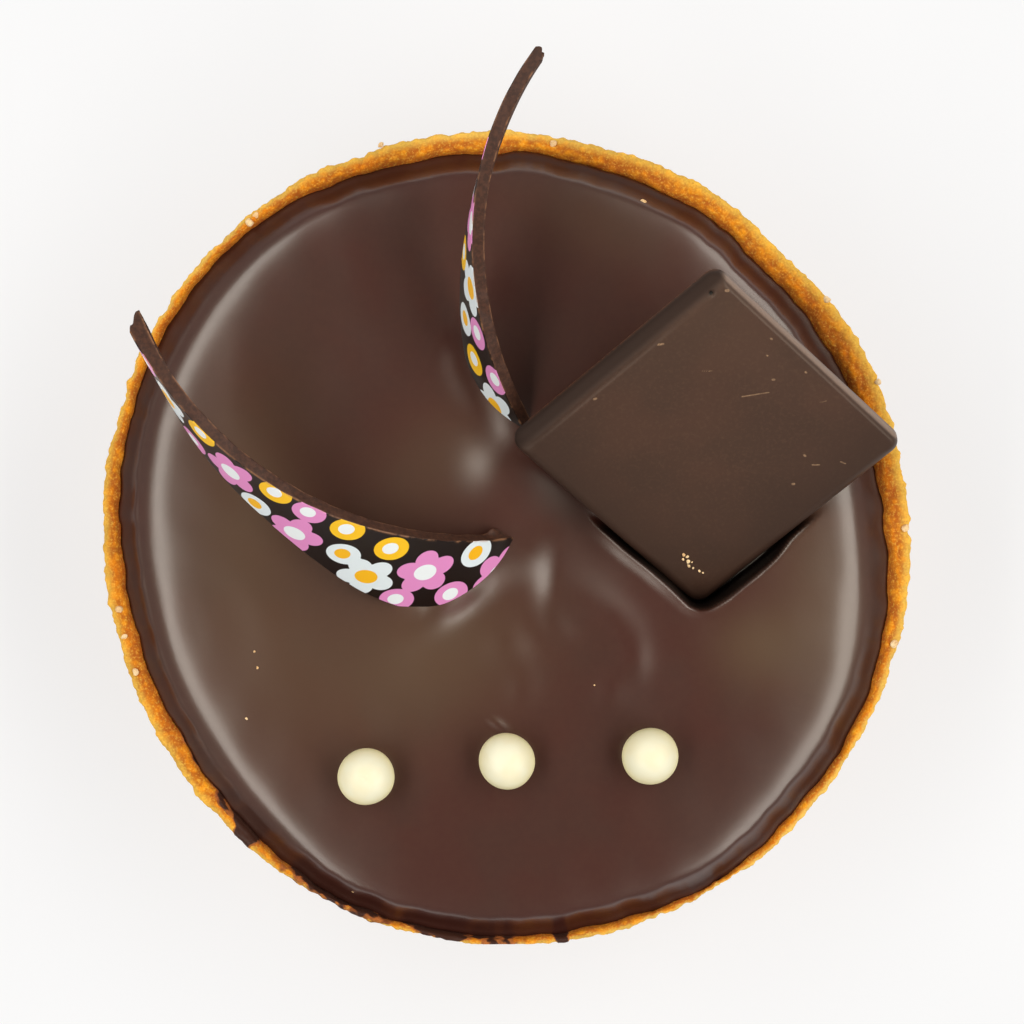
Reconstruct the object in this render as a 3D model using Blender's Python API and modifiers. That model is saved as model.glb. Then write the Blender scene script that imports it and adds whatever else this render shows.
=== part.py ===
"""Chocolate tart: a pastry shell filled with glazed ganache, with a tilted
chocolate plaque, two printed chocolate curls and three crisp pearls.

Everything is in metres with +Z up. The origin is the centre of the flat
underside of the pastry shell.
"""

import math

import bmesh
import bpy
import numpy as np
from mathutils import Matrix, Vector

MM = 0.001
GAP = 0.3 * MM                  # clearance between pieces that touch
SEGMENTS = 96                   # steps round the shell and the filling

# Pastry shell, baked in an 80 mm ring
RIM_RADIUS = 40.1 * MM          # outside, before the swells below
RIM_HEIGHT = 20.0 * MM
RIM_WAVES = ((3, 1.0, 0.25 * MM), (8, 0.0, 0.15 * MM))   # count, phase, height
FLOOR = 2.6 * MM                # thickness of the pastry base
FLOOR_FILLET = 1.0 * MM         # rounding between the base and the wall, inside
TAPER = 0.5 * MM                # the foot is this much smaller in radius than the rim
WALL_INSIDE = 36.6 * MM         # inner face of the wall, below the rim
LEDGE = 1.7 * MM                # depth of the sloping ledge inside the rim
LIP = 0.5 * MM                  # how far the rim drops to the glaze line
GLAZE_LINE = 39.2 * MM          # where the glaze meets the rim, before the swells

# Slow swells of an outline: direction in degrees, half width in degrees, amount
RIM_SWELLS = (
    (45, 11, -1.0 * MM),
    (128, 25, 0.5 * MM),
    (210, 30, -0.4 * MM),
    (290, 30, 0.3 * MM),
)
GLAZE_SWELLS = (
    (25, 45, -2.4 * MM),
    (48, 9, -0.6 * MM),
    (98, 18, -0.9 * MM),
    (140, 18, 0.3 * MM),
    (204, 30, -1.9 * MM),
    (302, 9, 0.5 * MM),
)

# Ganache
FILL_TOP = 22.3 * MM            # height of the glaze at the centre
FILL_EDGE = 20.2 * MM           # height of the glaze at the rim

# Chocolate plaque, a square tile standing on one sunken corner
PLAQUE_SIDE = 27.1 * MM
PLAQUE_THICKNESS = 2.0 * MM
PLAQUE_CORNER = 1.3 * MM        # radius of its four corners, seen from above
PLAQUE_EDGE = 0.8 * MM          # rounding of its edges
PLAQUE_TURN = math.radians(-45.2)
PLAQUE_TILT = math.radians(32.6)
PLAQUE_ROLL = math.radians(2.0)
PLAQUE_CENTRE = Vector((19.4 * MM, 8.8 * MM, 27.8 * MM))   # of its top face
POCKET_HEIGHT = 12.0 * MM       # how far the hollow in the glaze is drawn up

# Chocolate curls: strips wound at a slant round a leaning tube
CURL_THICKNESS = 1.25 * MM
CURL_CHAMFER = 0.2 * MM
CURL_STEPS = 34
CURLS = {
    "curl_side": {
        "lean": math.radians(41.1),      # of the tube, from upright
        "heading": math.radians(114.7),  # compass direction of that lean
        "across": 7.8 * MM,              # tube's centre, square to the lean
        "along": 0.2 * MM,               # tube's centre, along the lean
        "radius": 16.2 * MM,
        "opening": -0.5 * MM,            # change of radius for each radian
        "height": 50.9 * MM,             # along the tube, where the angle is 0
        "rise": 17.6 * MM,               # for each radian
        "bow": 0.5 * MM,                 # for each radian squared
        "width": 13.6 * MM,              # of the strip at its widest, along the tube
        "narrow": 9.3 * MM,              # its width behind the tip
        "point": 2.5 * MM,               # width at the pointed tip
        "taper": math.radians(15.0),     # from the tip to the narrow width
        "widening": (math.radians(34.0), math.radians(72.0)),  # from the tip, narrow to wide
        "tip": math.radians(1.5),
        "root": math.radians(-123.0),
    },
    "curl_back": {
        "lean": math.radians(27.2),
        "heading": math.radians(72.7),
        "across": -4.5 * MM,
        "along": 12.1 * MM,
        "radius": 17.3 * MM,
        "opening": 2.4 * MM,
        "height": 46.0 * MM,
        "rise": 16.3 * MM,
        "bow": -1.6 * MM,
        "width": 10.0 * MM,
        "narrow": 10.0 * MM,
        "point": 1.0 * MM,
        "taper": math.radians(60.0),
        "widening": (math.radians(60.0), math.radians(90.0)),
        "tip": math.radians(33.6),
        "root": math.radians(-78.0),
    },
}

# Crisp pearls, each sunk a little into the glaze
PEARL_RADIUS = 2.8 * MM
PEARL_SINK = 0.9 * MM
PEARL_PLACES = (
    Vector((-13.9 * MM, -23.6 * MM)),
    Vector((0.0 * MM, -22.1 * MM)),
    Vector((14.1 * MM, -21.6 * MM)),
)

MATERIALS = {
    # name: (base colour, roughness)
    "baked_pastry": ((0.56, 0.25, 0.06, 1.0), 0.75),
    "dark_glaze": ((0.060, 0.030, 0.022, 1.0), 0.28),
    "dark_chocolate": ((0.055, 0.033, 0.024, 1.0), 0.42),
    "printed_chocolate": ((0.030, 0.015, 0.010, 1.0), 0.30),
    "cream_coating": ((0.93, 0.89, 0.68, 1.0), 0.35),
}


def clear_scene():
    """Remove whatever the start-up file holds."""
    for thing in list(bpy.data.objects):
        bpy.data.objects.remove(thing, do_unlink=True)


def new_collection(name):
    """Make a collection under the scene."""
    collection = bpy.data.collections.new(name)
    bpy.context.scene.collection.children.link(collection)
    return collection


def material(name):
    """A Principled material from the table of colours."""
    colour, roughness = MATERIALS[name]
    made = bpy.data.materials.new(name)
    made.use_nodes = True
    shader = made.node_tree.nodes["Principled BSDF"]
    shader.inputs["Base Color"].default_value = colour
    shader.inputs["Roughness"].default_value = roughness
    shader.inputs["Metallic"].default_value = 0.0
    made.diffuse_color = colour
    return made


def add_object(name, mesh, collection, material_name=None, smooth_angle=40.0):
    """Put a mesh in a collection, shaded smooth up to an angle."""
    made = bpy.data.objects.new(name, mesh)
    collection.objects.link(made)
    if material_name:
        mesh.materials.append(material(material_name))
    mesh.shade_smooth()
    mesh.set_sharp_from_angle(angle=math.radians(smooth_angle))
    return made


def loft(name, rings):
    """A closed body through a row of closed rings, with a flat cap at each end.

    rings has the shape (rings, points on a ring, 3).
    """
    count, points, _ = rings.shape
    index = np.arange(count * points).reshape(count, points)
    beside = np.roll(index, -1, axis=1)
    quads = np.stack([index[:-1], beside[:-1], beside[1:], index[1:]], axis=-1)
    faces = quads.reshape(-1, 4).tolist()
    faces.append(index[0][::-1].tolist())
    faces.append(index[-1].tolist())
    mesh = bpy.data.meshes.new(name)
    mesh.from_pydata(rings.reshape(-1, 3).tolist(), [], faces)
    work = bmesh.new()
    work.from_mesh(mesh)
    bmesh.ops.recalc_face_normals(work, faces=work.faces)
    work.to_mesh(mesh)
    work.free()
    return mesh


def swelling(angles, base, swells):
    """A radius for each angle: the base plus a smooth bump for each swell."""
    radius = np.full_like(angles, base)
    for direction, half_width, amount in swells:
        away = angles - math.radians(direction)
        away = np.arctan2(np.sin(away), np.cos(away))
        radius += amount * np.exp(-(away / math.radians(half_width)) ** 2)
    return radius


def rings_from_profile(angles, profile):
    """Rings round Z from rows of (radius, height), numbers or one for each angle."""
    rings = []
    for radius, height in profile:
        radius = np.broadcast_to(radius, angles.shape)
        height = np.broadcast_to(height, angles.shape)
        rings.append(np.stack([radius * np.cos(angles), radius * np.sin(angles), height], axis=-1))
    return np.array(rings)


def outlines():
    """Angles, rim radius, glaze line and inner wall radius round the tart."""
    angles = np.linspace(0.0, 2.0 * math.pi, SEGMENTS, endpoint=False)
    rim = swelling(angles, RIM_RADIUS, RIM_SWELLS)
    line = np.minimum(swelling(angles, GLAZE_LINE, GLAZE_SWELLS), rim - 0.6 * MM)
    wall = np.minimum(line - 0.4 * MM, WALL_INSIDE)
    return angles, rim, line, wall


def rim_height(angles):
    """Height of the rim round the tart: a few shallow waves."""
    height = np.full_like(angles, RIM_HEIGHT)
    for count, phase, amount in RIM_WAVES:
        height += amount * np.sin(count * angles + phase)
    return height


def make_crust(collection):
    """The pastry shell: flat base, nearly straight side, rounded uneven rim."""
    angles, rim, line, wall = outlines()
    top = rim_height(angles)
    foot = rim - TAPER
    width = rim - line
    profile = (
        (foot - 1.1 * MM, 0.0),
        (foot - 0.4 * MM, 0.25 * MM),
        (foot, 1.1 * MM),
        (rim - 0.8 * TAPER, 0.35 * RIM_HEIGHT),
        (rim - 0.2 * TAPER, 0.75 * RIM_HEIGHT),
        (rim, top - 1.2 * MM),
        (rim - 0.12 * width, top - 0.4 * MM),
        (rim - 0.4 * width, top),
        (rim - 0.8 * width, top - 0.1 * LIP),
        (line, top - LIP),
        (wall, top - LEDGE),
        (wall, FLOOR + FLOOR_FILLET),
        (wall - FLOOR_FILLET, FLOOR),
    )
    mesh = loft("crust", rings_from_profile(angles, profile))
    return add_object("crust", mesh, collection, "baked_pastry")


def make_filling(collection):
    """The ganache: fills the shell, domed on top with a soft shoulder."""
    angles, _, line, wall = outlines()
    top = rim_height(angles)
    edge = line - GAP
    fall = FILL_TOP - FILL_EDGE
    profile = (
        (wall - FLOOR_FILLET - GAP, FLOOR + GAP),
        (wall - GAP, FLOOR + FLOOR_FILLET + GAP),
        (wall - GAP, top - LEDGE + GAP),
        (edge, top - LIP + GAP),
        (edge - 0.3 * MM, FILL_EDGE + 0.25 * MM),
        (edge - 1.6 * MM, FILL_EDGE + 0.05 * MM),
        (edge - 3.0 * MM, FILL_TOP - 0.62 * fall),
        (edge - 4.5 * MM, FILL_TOP - 0.32 * fall),
        (edge - 6.5 * MM, FILL_TOP - 0.15 * fall),
        (0.66 * edge, FILL_TOP - 0.05 * fall),
        (0.40 * edge, FILL_TOP),
        (0.12 * edge, FILL_TOP),
    )
    mesh = loft("filling", rings_from_profile(angles, profile))
    return add_object("filling", mesh, collection, "dark_glaze")


def plaque_place():
    """Turn in its own plane first, then tilt and roll, then move."""
    turn = Matrix.Rotation(PLAQUE_TURN, 4, "Z")
    tilt = Matrix.Rotation(PLAQUE_TILT, 4, "X")
    roll = Matrix.Rotation(PLAQUE_ROLL, 4, "Y")
    return Matrix.Translation(PLAQUE_CENTRE) @ roll @ tilt @ turn


def slab_mesh(name, side, below, above, corner=0.0):
    """A square slab round the origin, from below to above its top face, its corners rounded."""
    work = bmesh.new()
    bmesh.ops.create_cube(work, size=1.0)
    shape = Matrix.Diagonal((side, side, above + below, 1.0))
    bmesh.ops.transform(work, matrix=shape, verts=work.verts)
    if corner:
        upright = [edge for edge in work.edges if edge.verts[0].co.z * edge.verts[1].co.z < 0.0]
        bmesh.ops.bevel(work, geom=upright, offset=corner, segments=6, profile=0.5, affect="EDGES")
    bmesh.ops.translate(work, vec=(0.0, 0.0, (above - below) / 2), verts=work.verts)
    mesh = bpy.data.meshes.new(name)
    work.to_mesh(mesh)
    work.free()
    return mesh


def make_plaque(collection):
    """The square tile, with rounded edges."""
    mesh = slab_mesh("plaque", PLAQUE_SIDE, PLAQUE_THICKNESS, 0.0, PLAQUE_CORNER)
    plaque = add_object("plaque", mesh, collection, "dark_chocolate")
    plaque.matrix_world = plaque_place()
    rounding = plaque.modifiers.new("rounded_edges", "BEVEL")
    rounding.width = PLAQUE_EDGE
    rounding.segments = 3
    return plaque


def plaque_pocket(collection):
    """Cutter for the glaze: the tile with a gap round it, drawn straight up."""
    mesh = slab_mesh("plaque_pocket", PLAQUE_SIDE + 2 * GAP, PLAQUE_THICKNESS + GAP, GAP)
    mesh.transform(plaque_place())
    up = plaque_place().to_3x3() @ Vector((0.0, 0.0, 1.0))
    work = bmesh.new()
    work.from_mesh(mesh)
    work.normal_update()
    top = [face for face in work.faces if face.normal.dot(up) > 0.9]
    raised = bmesh.ops.extrude_face_region(work, geom=top)["geom"]
    corners = [thing for thing in raised if isinstance(thing, bmesh.types.BMVert)]
    bmesh.ops.translate(work, vec=(0.0, 0.0, POCKET_HEIGHT), verts=corners)
    bmesh.ops.delete(work, geom=top, context="FACES_ONLY")
    bmesh.ops.recalc_face_normals(work, faces=work.faces)
    work.to_mesh(mesh)
    work.free()
    return add_object("plaque_pocket", mesh, collection)


def strip_points(curl, angles, widths, depths):
    """Points of a strip wound round a leaning tube.

    The tube leans by lean towards heading. At each angle the strip lies at
    the tube's radius less the depth, and climbs by rise for each radian; the
    width is measured down the tube from the strip's upper edge.
    """
    lean, heading = curl["lean"], curl["heading"]
    flat = np.array([math.cos(heading), math.sin(heading), 0.0])
    side = np.array([-math.sin(heading), math.cos(heading), 0.0])
    upright = np.array([0.0, 0.0, 1.0])
    axis = math.sin(lean) * flat + math.cos(lean) * upright
    front = math.cos(lean) * flat - math.sin(lean) * upright
    radius = curl["radius"] + curl["opening"] * angles - depths
    climb = curl["height"] + curl["rise"] * angles + curl["bow"] * angles ** 2 - widths
    sideways = curl["across"] + radius * np.cos(angles)
    forward = curl["along"] + radius * np.sin(angles)
    return sideways[..., None] * side + forward[..., None] * front + climb[..., None] * axis


def s_curve(share):
    """0 below 0, 1 above 1, smooth between."""
    share = np.clip(share, 0.0, 1.0)
    return share ** 2 * (3.0 - 2.0 * share)


def strip_width(curl, angles):
    """Width of the strip: small at its point, narrow after the taper, then wide by an S-curve."""
    turned = curl["tip"] - angles
    start, end = curl["widening"]
    narrow = (curl["narrow"] - curl["point"]) * s_curve(turned / curl["taper"])
    return curl["point"] + narrow + (curl["width"] - curl["narrow"]) * s_curve((turned - start) / (end - start))


def strip_mesh(name, curl, grow=0.0):
    """The strip as a closed body, its long edges chamfered; grow swells it all round."""
    chamfer = CURL_CHAMFER
    slant = math.cos(math.atan2(curl["rise"], curl["radius"]))
    rim = grow / slant
    cut = chamfer / slant
    outer, inner = -grow, CURL_THICKNESS + grow
    # share of the width, distance beyond it, depth
    section = np.array([
        (0.0, cut - rim, outer),
        (1.0, rim - cut, outer),
        (1.0, rim, outer + chamfer),
        (1.0, rim, inner - chamfer),
        (1.0, rim - cut, inner),
        (0.0, cut - rim, inner),
        (0.0, -rim, inner - chamfer),
        (0.0, -rim, outer + chamfer),
    ])
    ends = grow / curl["radius"]
    angles = np.linspace(curl["tip"] + ends, curl["root"] - ends, CURL_STEPS)
    grid_angles = np.repeat(angles[:, None], len(section), axis=1)
    widths = section[:, 0] * strip_width(curl, angles)[:, None] + section[:, 1]
    depths = np.broadcast_to(section[:, 2], grid_angles.shape)
    return loft(name, strip_points(curl, grid_angles, widths, depths))


def pearl_centre(place):
    """Centre of a pearl that is sunk into the glaze."""
    return Vector((place.x, place.y, FILL_TOP - 0.35 * MM + PEARL_RADIUS - PEARL_SINK))


def ball_mesh(name, radius):
    """A small ball round the origin."""
    work = bmesh.new()
    bmesh.ops.create_uvsphere(work, u_segments=20, v_segments=11, radius=radius)
    mesh = bpy.data.meshes.new(name)
    work.to_mesh(mesh)
    work.free()
    return mesh


def make_pearls(collection):
    """Three pearls with the same mesh."""
    mesh = ball_mesh("pearl", PEARL_RADIUS)
    mesh.materials.append(material("cream_coating"))
    for number, place in enumerate(PEARL_PLACES, start=1):
        pearl = add_object("pearl_%d" % number, mesh, collection)
        pearl.location = pearl_centre(place)


def as_cutter(thing):
    """Hide a cutter from renders and show it as wire."""
    thing.hide_render = True
    thing.display_type = "WIRE"
    return thing


def make_cutters(collection):
    """Hollows in the glaze, each a gap larger than the piece that sits in it."""
    cutters = [as_cutter(plaque_pocket(collection))]
    for name, curl in CURLS.items():
        mesh = strip_mesh(name + "_slot", curl, grow=GAP)
        cutters.append(as_cutter(add_object(name + "_slot", mesh, collection)))
    for number, place in enumerate(PEARL_PLACES, start=1):
        cup = add_object("pearl_cup_%d" % number, ball_mesh("pearl_cup", PEARL_RADIUS + GAP), collection)
        cup.location = pearl_centre(place)
        cutters.append(as_cutter(cup))
    return cutters


def main():
    clear_scene()
    tart = new_collection("chocolate_tart")
    cutter_box = new_collection("cutters")
    make_crust(tart)
    filling = make_filling(tart)
    make_plaque(tart)
    for name, curl in CURLS.items():
        add_object(name, strip_mesh(name, curl), tart, "printed_chocolate")
    make_pearls(tart)
    for cutter in make_cutters(cutter_box):
        cut = filling.modifiers.new(cutter.name, "BOOLEAN")
        cut.operation = "DIFFERENCE"
        cut.solver = "EXACT"
        cut.object = cutter


main()
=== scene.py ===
# %% [markdown]
# # A chocolate tart, piece by piece
#
# The tart is a baked pastry shell filled with ganache. Pressed into the glaze are a square
# chocolate plaque, two printed chocolate curls and three crisp pearls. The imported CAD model
# gives the place and size of each piece, and every piece here is a finer surface that stands
# for one of them. It is loaded first, so that all later cells can measure it.

# %% Load the frame
import itertools
import math

import bpy
import numpy as np
from mathutils import Matrix, Vector


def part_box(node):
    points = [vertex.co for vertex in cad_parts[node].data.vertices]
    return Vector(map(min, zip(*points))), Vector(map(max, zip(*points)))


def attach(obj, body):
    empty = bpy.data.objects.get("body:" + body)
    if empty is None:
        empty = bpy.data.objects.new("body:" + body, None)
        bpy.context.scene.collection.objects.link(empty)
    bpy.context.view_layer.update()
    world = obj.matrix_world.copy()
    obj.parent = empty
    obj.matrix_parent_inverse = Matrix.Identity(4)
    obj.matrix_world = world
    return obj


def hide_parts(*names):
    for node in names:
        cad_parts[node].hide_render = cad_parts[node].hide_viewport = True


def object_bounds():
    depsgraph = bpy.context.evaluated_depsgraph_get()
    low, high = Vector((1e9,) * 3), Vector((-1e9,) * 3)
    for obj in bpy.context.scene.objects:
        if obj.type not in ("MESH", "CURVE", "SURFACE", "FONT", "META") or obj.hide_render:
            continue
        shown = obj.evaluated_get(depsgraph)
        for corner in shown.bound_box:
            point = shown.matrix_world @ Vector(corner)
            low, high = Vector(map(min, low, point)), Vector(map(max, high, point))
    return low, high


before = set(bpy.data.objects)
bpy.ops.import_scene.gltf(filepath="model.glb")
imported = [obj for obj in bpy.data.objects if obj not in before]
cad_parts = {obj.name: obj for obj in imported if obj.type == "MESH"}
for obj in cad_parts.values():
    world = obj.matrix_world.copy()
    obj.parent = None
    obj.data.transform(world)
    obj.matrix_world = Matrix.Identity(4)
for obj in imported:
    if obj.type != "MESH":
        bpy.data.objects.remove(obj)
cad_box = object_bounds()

MM = 0.001
MM3_IN_CM3 = 1000.0
TAU = 2.0 * math.pi
print("CAD nodes:", sorted(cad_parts))
print("CAD box in mm:", [[round(c / MM, 1) for c in corner] for corner in cad_box])

# %% [markdown]
# ## Measuring the frame
#
# The shell was pressed by hand into a ring, so its outline wanders. Instead of typing that
# outline again, it is read back from the CAD nodes: the largest radius in each direction. The
# CAD model has one vertex ring every few degrees, and a Fourier series through those radii
# gives a smooth outline for any direction, without corners.

# %% Outlines read from the CAD nodes
CAD_STEPS = 96              # columns of the CAD model round the tart


def node_points(name):
    """The vertices of a CAD node in millimetres, one row each."""
    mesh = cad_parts[name].data
    flat = np.empty(3 * len(mesh.vertices))
    mesh.vertices.foreach_get("co", flat)
    return flat.reshape(-1, 3) / MM


def around(name, measure):
    """The largest value of measure(points) in each of the CAD model's directions."""
    points = node_points(name)
    steps = np.arctan2(points[:, 1], points[:, 0]) / TAU * CAD_STEPS
    nearest = np.round(steps).astype(int) % CAD_STEPS
    best = np.full(CAD_STEPS, -np.inf)
    np.maximum.at(best, nearest, measure(points))
    return best


def smooth_round(values, angles, harmonics=30):
    """A Fourier series through evenly spaced values, read at any angles."""
    terms = np.fft.rfft(values) / len(values)
    result = np.full(np.shape(angles), terms[0].real)
    for order in range(1, harmonics + 1):
        result = result + 2.0 * (terms[order] * np.exp(1j * order * angles)).real
    return result


def degrees_from(angles, direction):
    """How far each angle is from a direction in degrees, from -180 to 180."""
    return (np.degrees(angles) - direction + 180.0) % 360.0 - 180.0


def swelling(angles, base, swells):
    """A value round the tart: base, and a Gaussian bump for each direction, width and amount."""
    total = base + 0.0 * angles
    for direction, half_width, amount in swells:
        total = total + amount * np.exp(-(degrees_from(angles, direction) / half_width) ** 2)
    return total


def radius_of(points):
    """Distance from the tart's axis."""
    return np.hypot(points[:, 0], points[:, 1])


RIM = around("crust", radius_of)
RIM_TOP = around("crust", lambda points: points[:, 2])
GLAZE_LINE = around("filling", radius_of)
print("rim radius %.1f to %.1f mm" % (RIM.min(), RIM.max()))
print("glaze line %.1f to %.1f mm" % (GLAZE_LINE.min(), GLAZE_LINE.max()))

# %% [markdown]
# ## Random but repeatable unevenness
#
# Nothing baked or poured is even. Two fields give the unevenness. A drift is a sum of plane
# waves in random directions: smooth and rolling, for dough and ganache. Pebbles are the
# distance to the nearest of many scattered sites, one in each cube of a lattice: rounded
# grains with creases between, for crumb. Both are functions of the place in space, so they
# have no seams, and both come from seeds, so they are the same every time.

# %% Drift and pebbles
def drift(points, size, seed, waves=28):
    """A smooth random field, mostly -1 to 1, whose waves are about size long."""
    draw = np.random.default_rng(seed)
    ways = draw.normal(size=(waves, points.shape[-1]))
    ways /= np.linalg.norm(ways, axis=1, keepdims=True)
    lengths = size * draw.uniform(0.7, 1.6, waves)
    phases = draw.uniform(0.0, TAU, waves)
    turns = points @ (ways * (TAU / lengths)[:, None]).T + phases
    return np.sin(turns).sum(axis=-1) / math.sqrt(waves)


# Large odd numbers that stir a cell's place and the seed into one whole number
STIR_X, STIR_Y, STIR_Z, STIR_SEED, STIR_AGAIN = 73856093, 19349663, 83492791, 2654435761, 1274126177
LOW_BITS = 0xFFFF


def scattered(cells, seed):
    """Three numbers from 0 to 1 for each lattice cell, always the same for the same cell."""
    x, y, z = (cells[..., axis].astype(np.int64) for axis in range(3))
    stirred = (x * STIR_X) ^ (y * STIR_Y) ^ (z * STIR_Z) ^ (seed * STIR_SEED)
    parts = []
    for turn in (1, 2, 3):
        stirred = (stirred ^ (stirred >> 13)) * STIR_AGAIN + turn * 97
        parts.append((stirred & LOW_BITS) / (LOW_BITS + 1.0))
    return np.stack(parts, axis=-1)


def pebbles(points, size, seed):
    """Distance to the nearest scattered site over size: 0 on a site, about 1 between sites."""
    places = points / size
    cells = np.floor(places)
    nearest = np.full(points.shape[:-1], np.inf)
    for step in itertools.product((-1, 0, 1), repeat=3):
        corner = cells + np.array(step)
        sites = corner + scattered(corner, seed)
        nearest = np.minimum(nearest, np.linalg.norm(places - sites, axis=-1))
    return nearest


def ease(values, low, high):
    """0 below low, 1 above high, and an S-curve between them."""
    t = np.clip((values - low) / (high - low), 0.0, 1.0)
    return t * t * (3.0 - 2.0 * t)


# %% [markdown]
# ## One way to make every skin
#
# Every piece of this tart is a closed body, and each one can be drawn as a grid: rows from
# one end of the body to the other, and columns that run round it. So one function makes them
# all. It joins the last column to the first and closes both ends with a point, and it checks
# the volume, because a positive volume means that the faces look outwards.

# %% From a grid to a mesh
def skin(name, grids, marks=None):
    """One mesh from one grid of (rows, columns, 3), or from several of the same size.

    Faces join neighbouring rows and columns, and a pole at each end is the mean of that
    row. The volume is a sixth of the sum of a . (b x c) over the triangles. marks holds
    named values, one for each grid point, kept as attributes.
    """
    grids = grids if grids.ndim == 4 else grids[None]
    count, rows, columns, _ = grids.shape
    index = np.arange(count * rows * columns).reshape(count, rows, columns)
    beside = np.roll(index, -1, axis=2)
    walls = np.stack([index[:, :-1], beside[:, :-1], beside[:, 1:], index[:, 1:]], axis=-1)
    walls = walls.reshape(-1, 4)
    poles = (index.size + np.arange(2 * count)).reshape(count, 2, 1) + 0 * index[:, :1]
    fan_a = np.stack([poles[:, 0], beside[:, 0], index[:, 0]], axis=-1).reshape(-1, 3)
    fan_b = np.stack([poles[:, 1], index[:, -1], beside[:, -1]], axis=-1).reshape(-1, 3)
    ends = grids[:, [0, -1]].mean(axis=2)
    points = np.concatenate([grids.reshape(-1, 3), ends.reshape(-1, 3)])
    a, b, c, d = (points[walls[:, corner]] for corner in range(4))
    six_volumes = np.einsum("ij,ij->i", a, np.cross(b, c) + np.cross(c, d)).sum()
    for fan in (fan_a, fan_b):
        a, b, c = (points[fan[:, corner]] for corner in range(3))
        six_volumes += np.einsum("ij,ij->i", a, np.cross(b, c)).sum()
    if six_volumes < 0:
        walls, fan_a, fan_b = walls[:, ::-1], fan_a[:, ::-1], fan_b[:, ::-1]
    corners = np.concatenate([walls.ravel(), fan_a.ravel(), fan_b.ravel()])
    sizes = np.concatenate([np.full(len(walls), 4), np.full(len(fan_a) + len(fan_b), 3)])
    mesh = bpy.data.meshes.new(name)
    mesh.vertices.add(len(points))
    mesh.vertices.foreach_set("co", (points * MM).ravel())
    mesh.loops.add(len(corners))
    mesh.loops.foreach_set("vertex_index", corners)
    mesh.polygons.add(len(sizes))
    mesh.polygons.foreach_set("loop_start", np.concatenate([[0], np.cumsum(sizes)[:-1]]))
    mesh.update(calc_edges=True)
    mesh.shade_smooth()
    for mark, values in (marks or {}).items():
        held = mesh.attributes.new(mark, "FLOAT", "POINT")
        values = values.reshape(count, rows, columns)
        full = np.concatenate([values.ravel(), values[:, [0, -1]].mean(axis=2).ravel()])
        held.data.foreach_set("value", full.astype(np.float32))
    piece = bpy.data.objects.new(name, mesh)
    bpy.context.scene.collection.objects.link(piece)
    triangles = 2 * len(walls) + len(fan_a) + len(fan_b)
    print("%s: %d triangles, %.2f cm3" % (name, triangles, abs(six_volumes) / 6.0 / MM3_IN_CM3))
    return piece


def serve(piece, slot, *nodes):
    """Fix a finished piece to the tart's body and hide the CAD nodes it stands for; slot is not used.
    """
    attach(piece, "root")
    if nodes:
        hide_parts(*nodes)


# %% [markdown]
# ## Shader sums written as sums
#
# A finish is a formula: this colour where the crumb is high, that one where it is low. In
# Blender each step of a formula is a node. Number wraps a socket and overloads + - * so that
# a formula can be written as one. Recipe adds any other node with one method, and Finish is
# the recipe of a material.

# %% Number, Recipe and Finish
class Number:
    """A value that varies over a surface. Each operator adds a Math node."""

    def __init__(self, recipe, socket):
        self.recipe = recipe
        self.socket = socket

    def math(self, operation, first, second):
        """A Math node on two values."""
        return self.recipe.node("Math", {"operation": operation}, {0: first, 1: second})

    def __add__(self, other):
        return self.math("ADD", self, other)

    def __rsub__(self, other):
        return self.math("SUBTRACT", other, self)

    def __mul__(self, other):
        return self.math("MULTIPLY", self, other)

    __radd__ = __add__

    def between(self, low, high):
        """0 below low and 1 above high, with an S-curve between."""
        settings = {"interpolation_type": "SMOOTHSTEP"}
        return self.recipe.node("MapRange", settings, {0: self, 1: low, 2: high})

    def clamp(self):
        """Held from 0 to 1."""
        return self.recipe.node("Clamp", {}, {0: self})


class Recipe:
    """A node tree being filled."""

    def __init__(self, tree):
        self.tree = tree

    def put(self, socket, value):
        """Link a Number to a socket, or set the socket's own value."""
        if isinstance(value, Number):
            self.tree.links.new(value.socket, socket)
        else:
            socket.default_value = value

    def node(self, kind, settings, inputs, output=0):
        """Add a shader node: its settings first, then its sockets by name or number.

        The setting "stops" holds a ramp's stops, each a position and a colour.
        """
        made = self.tree.nodes.new("ShaderNode" + kind)
        for setting, value in settings.items():
            if setting == "stops":
                while len(made.color_ramp.elements) < len(value):
                    made.color_ramp.elements.new(0.5)
                for stop, (position, colour) in zip(made.color_ramp.elements, value):
                    stop.position = position
                    stop.color = colour
            else:
                setattr(made, setting, value)
        for socket, value in inputs.items():
            self.put(made.inputs[socket], value)
        return Number(self, made.outputs[output])


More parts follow.
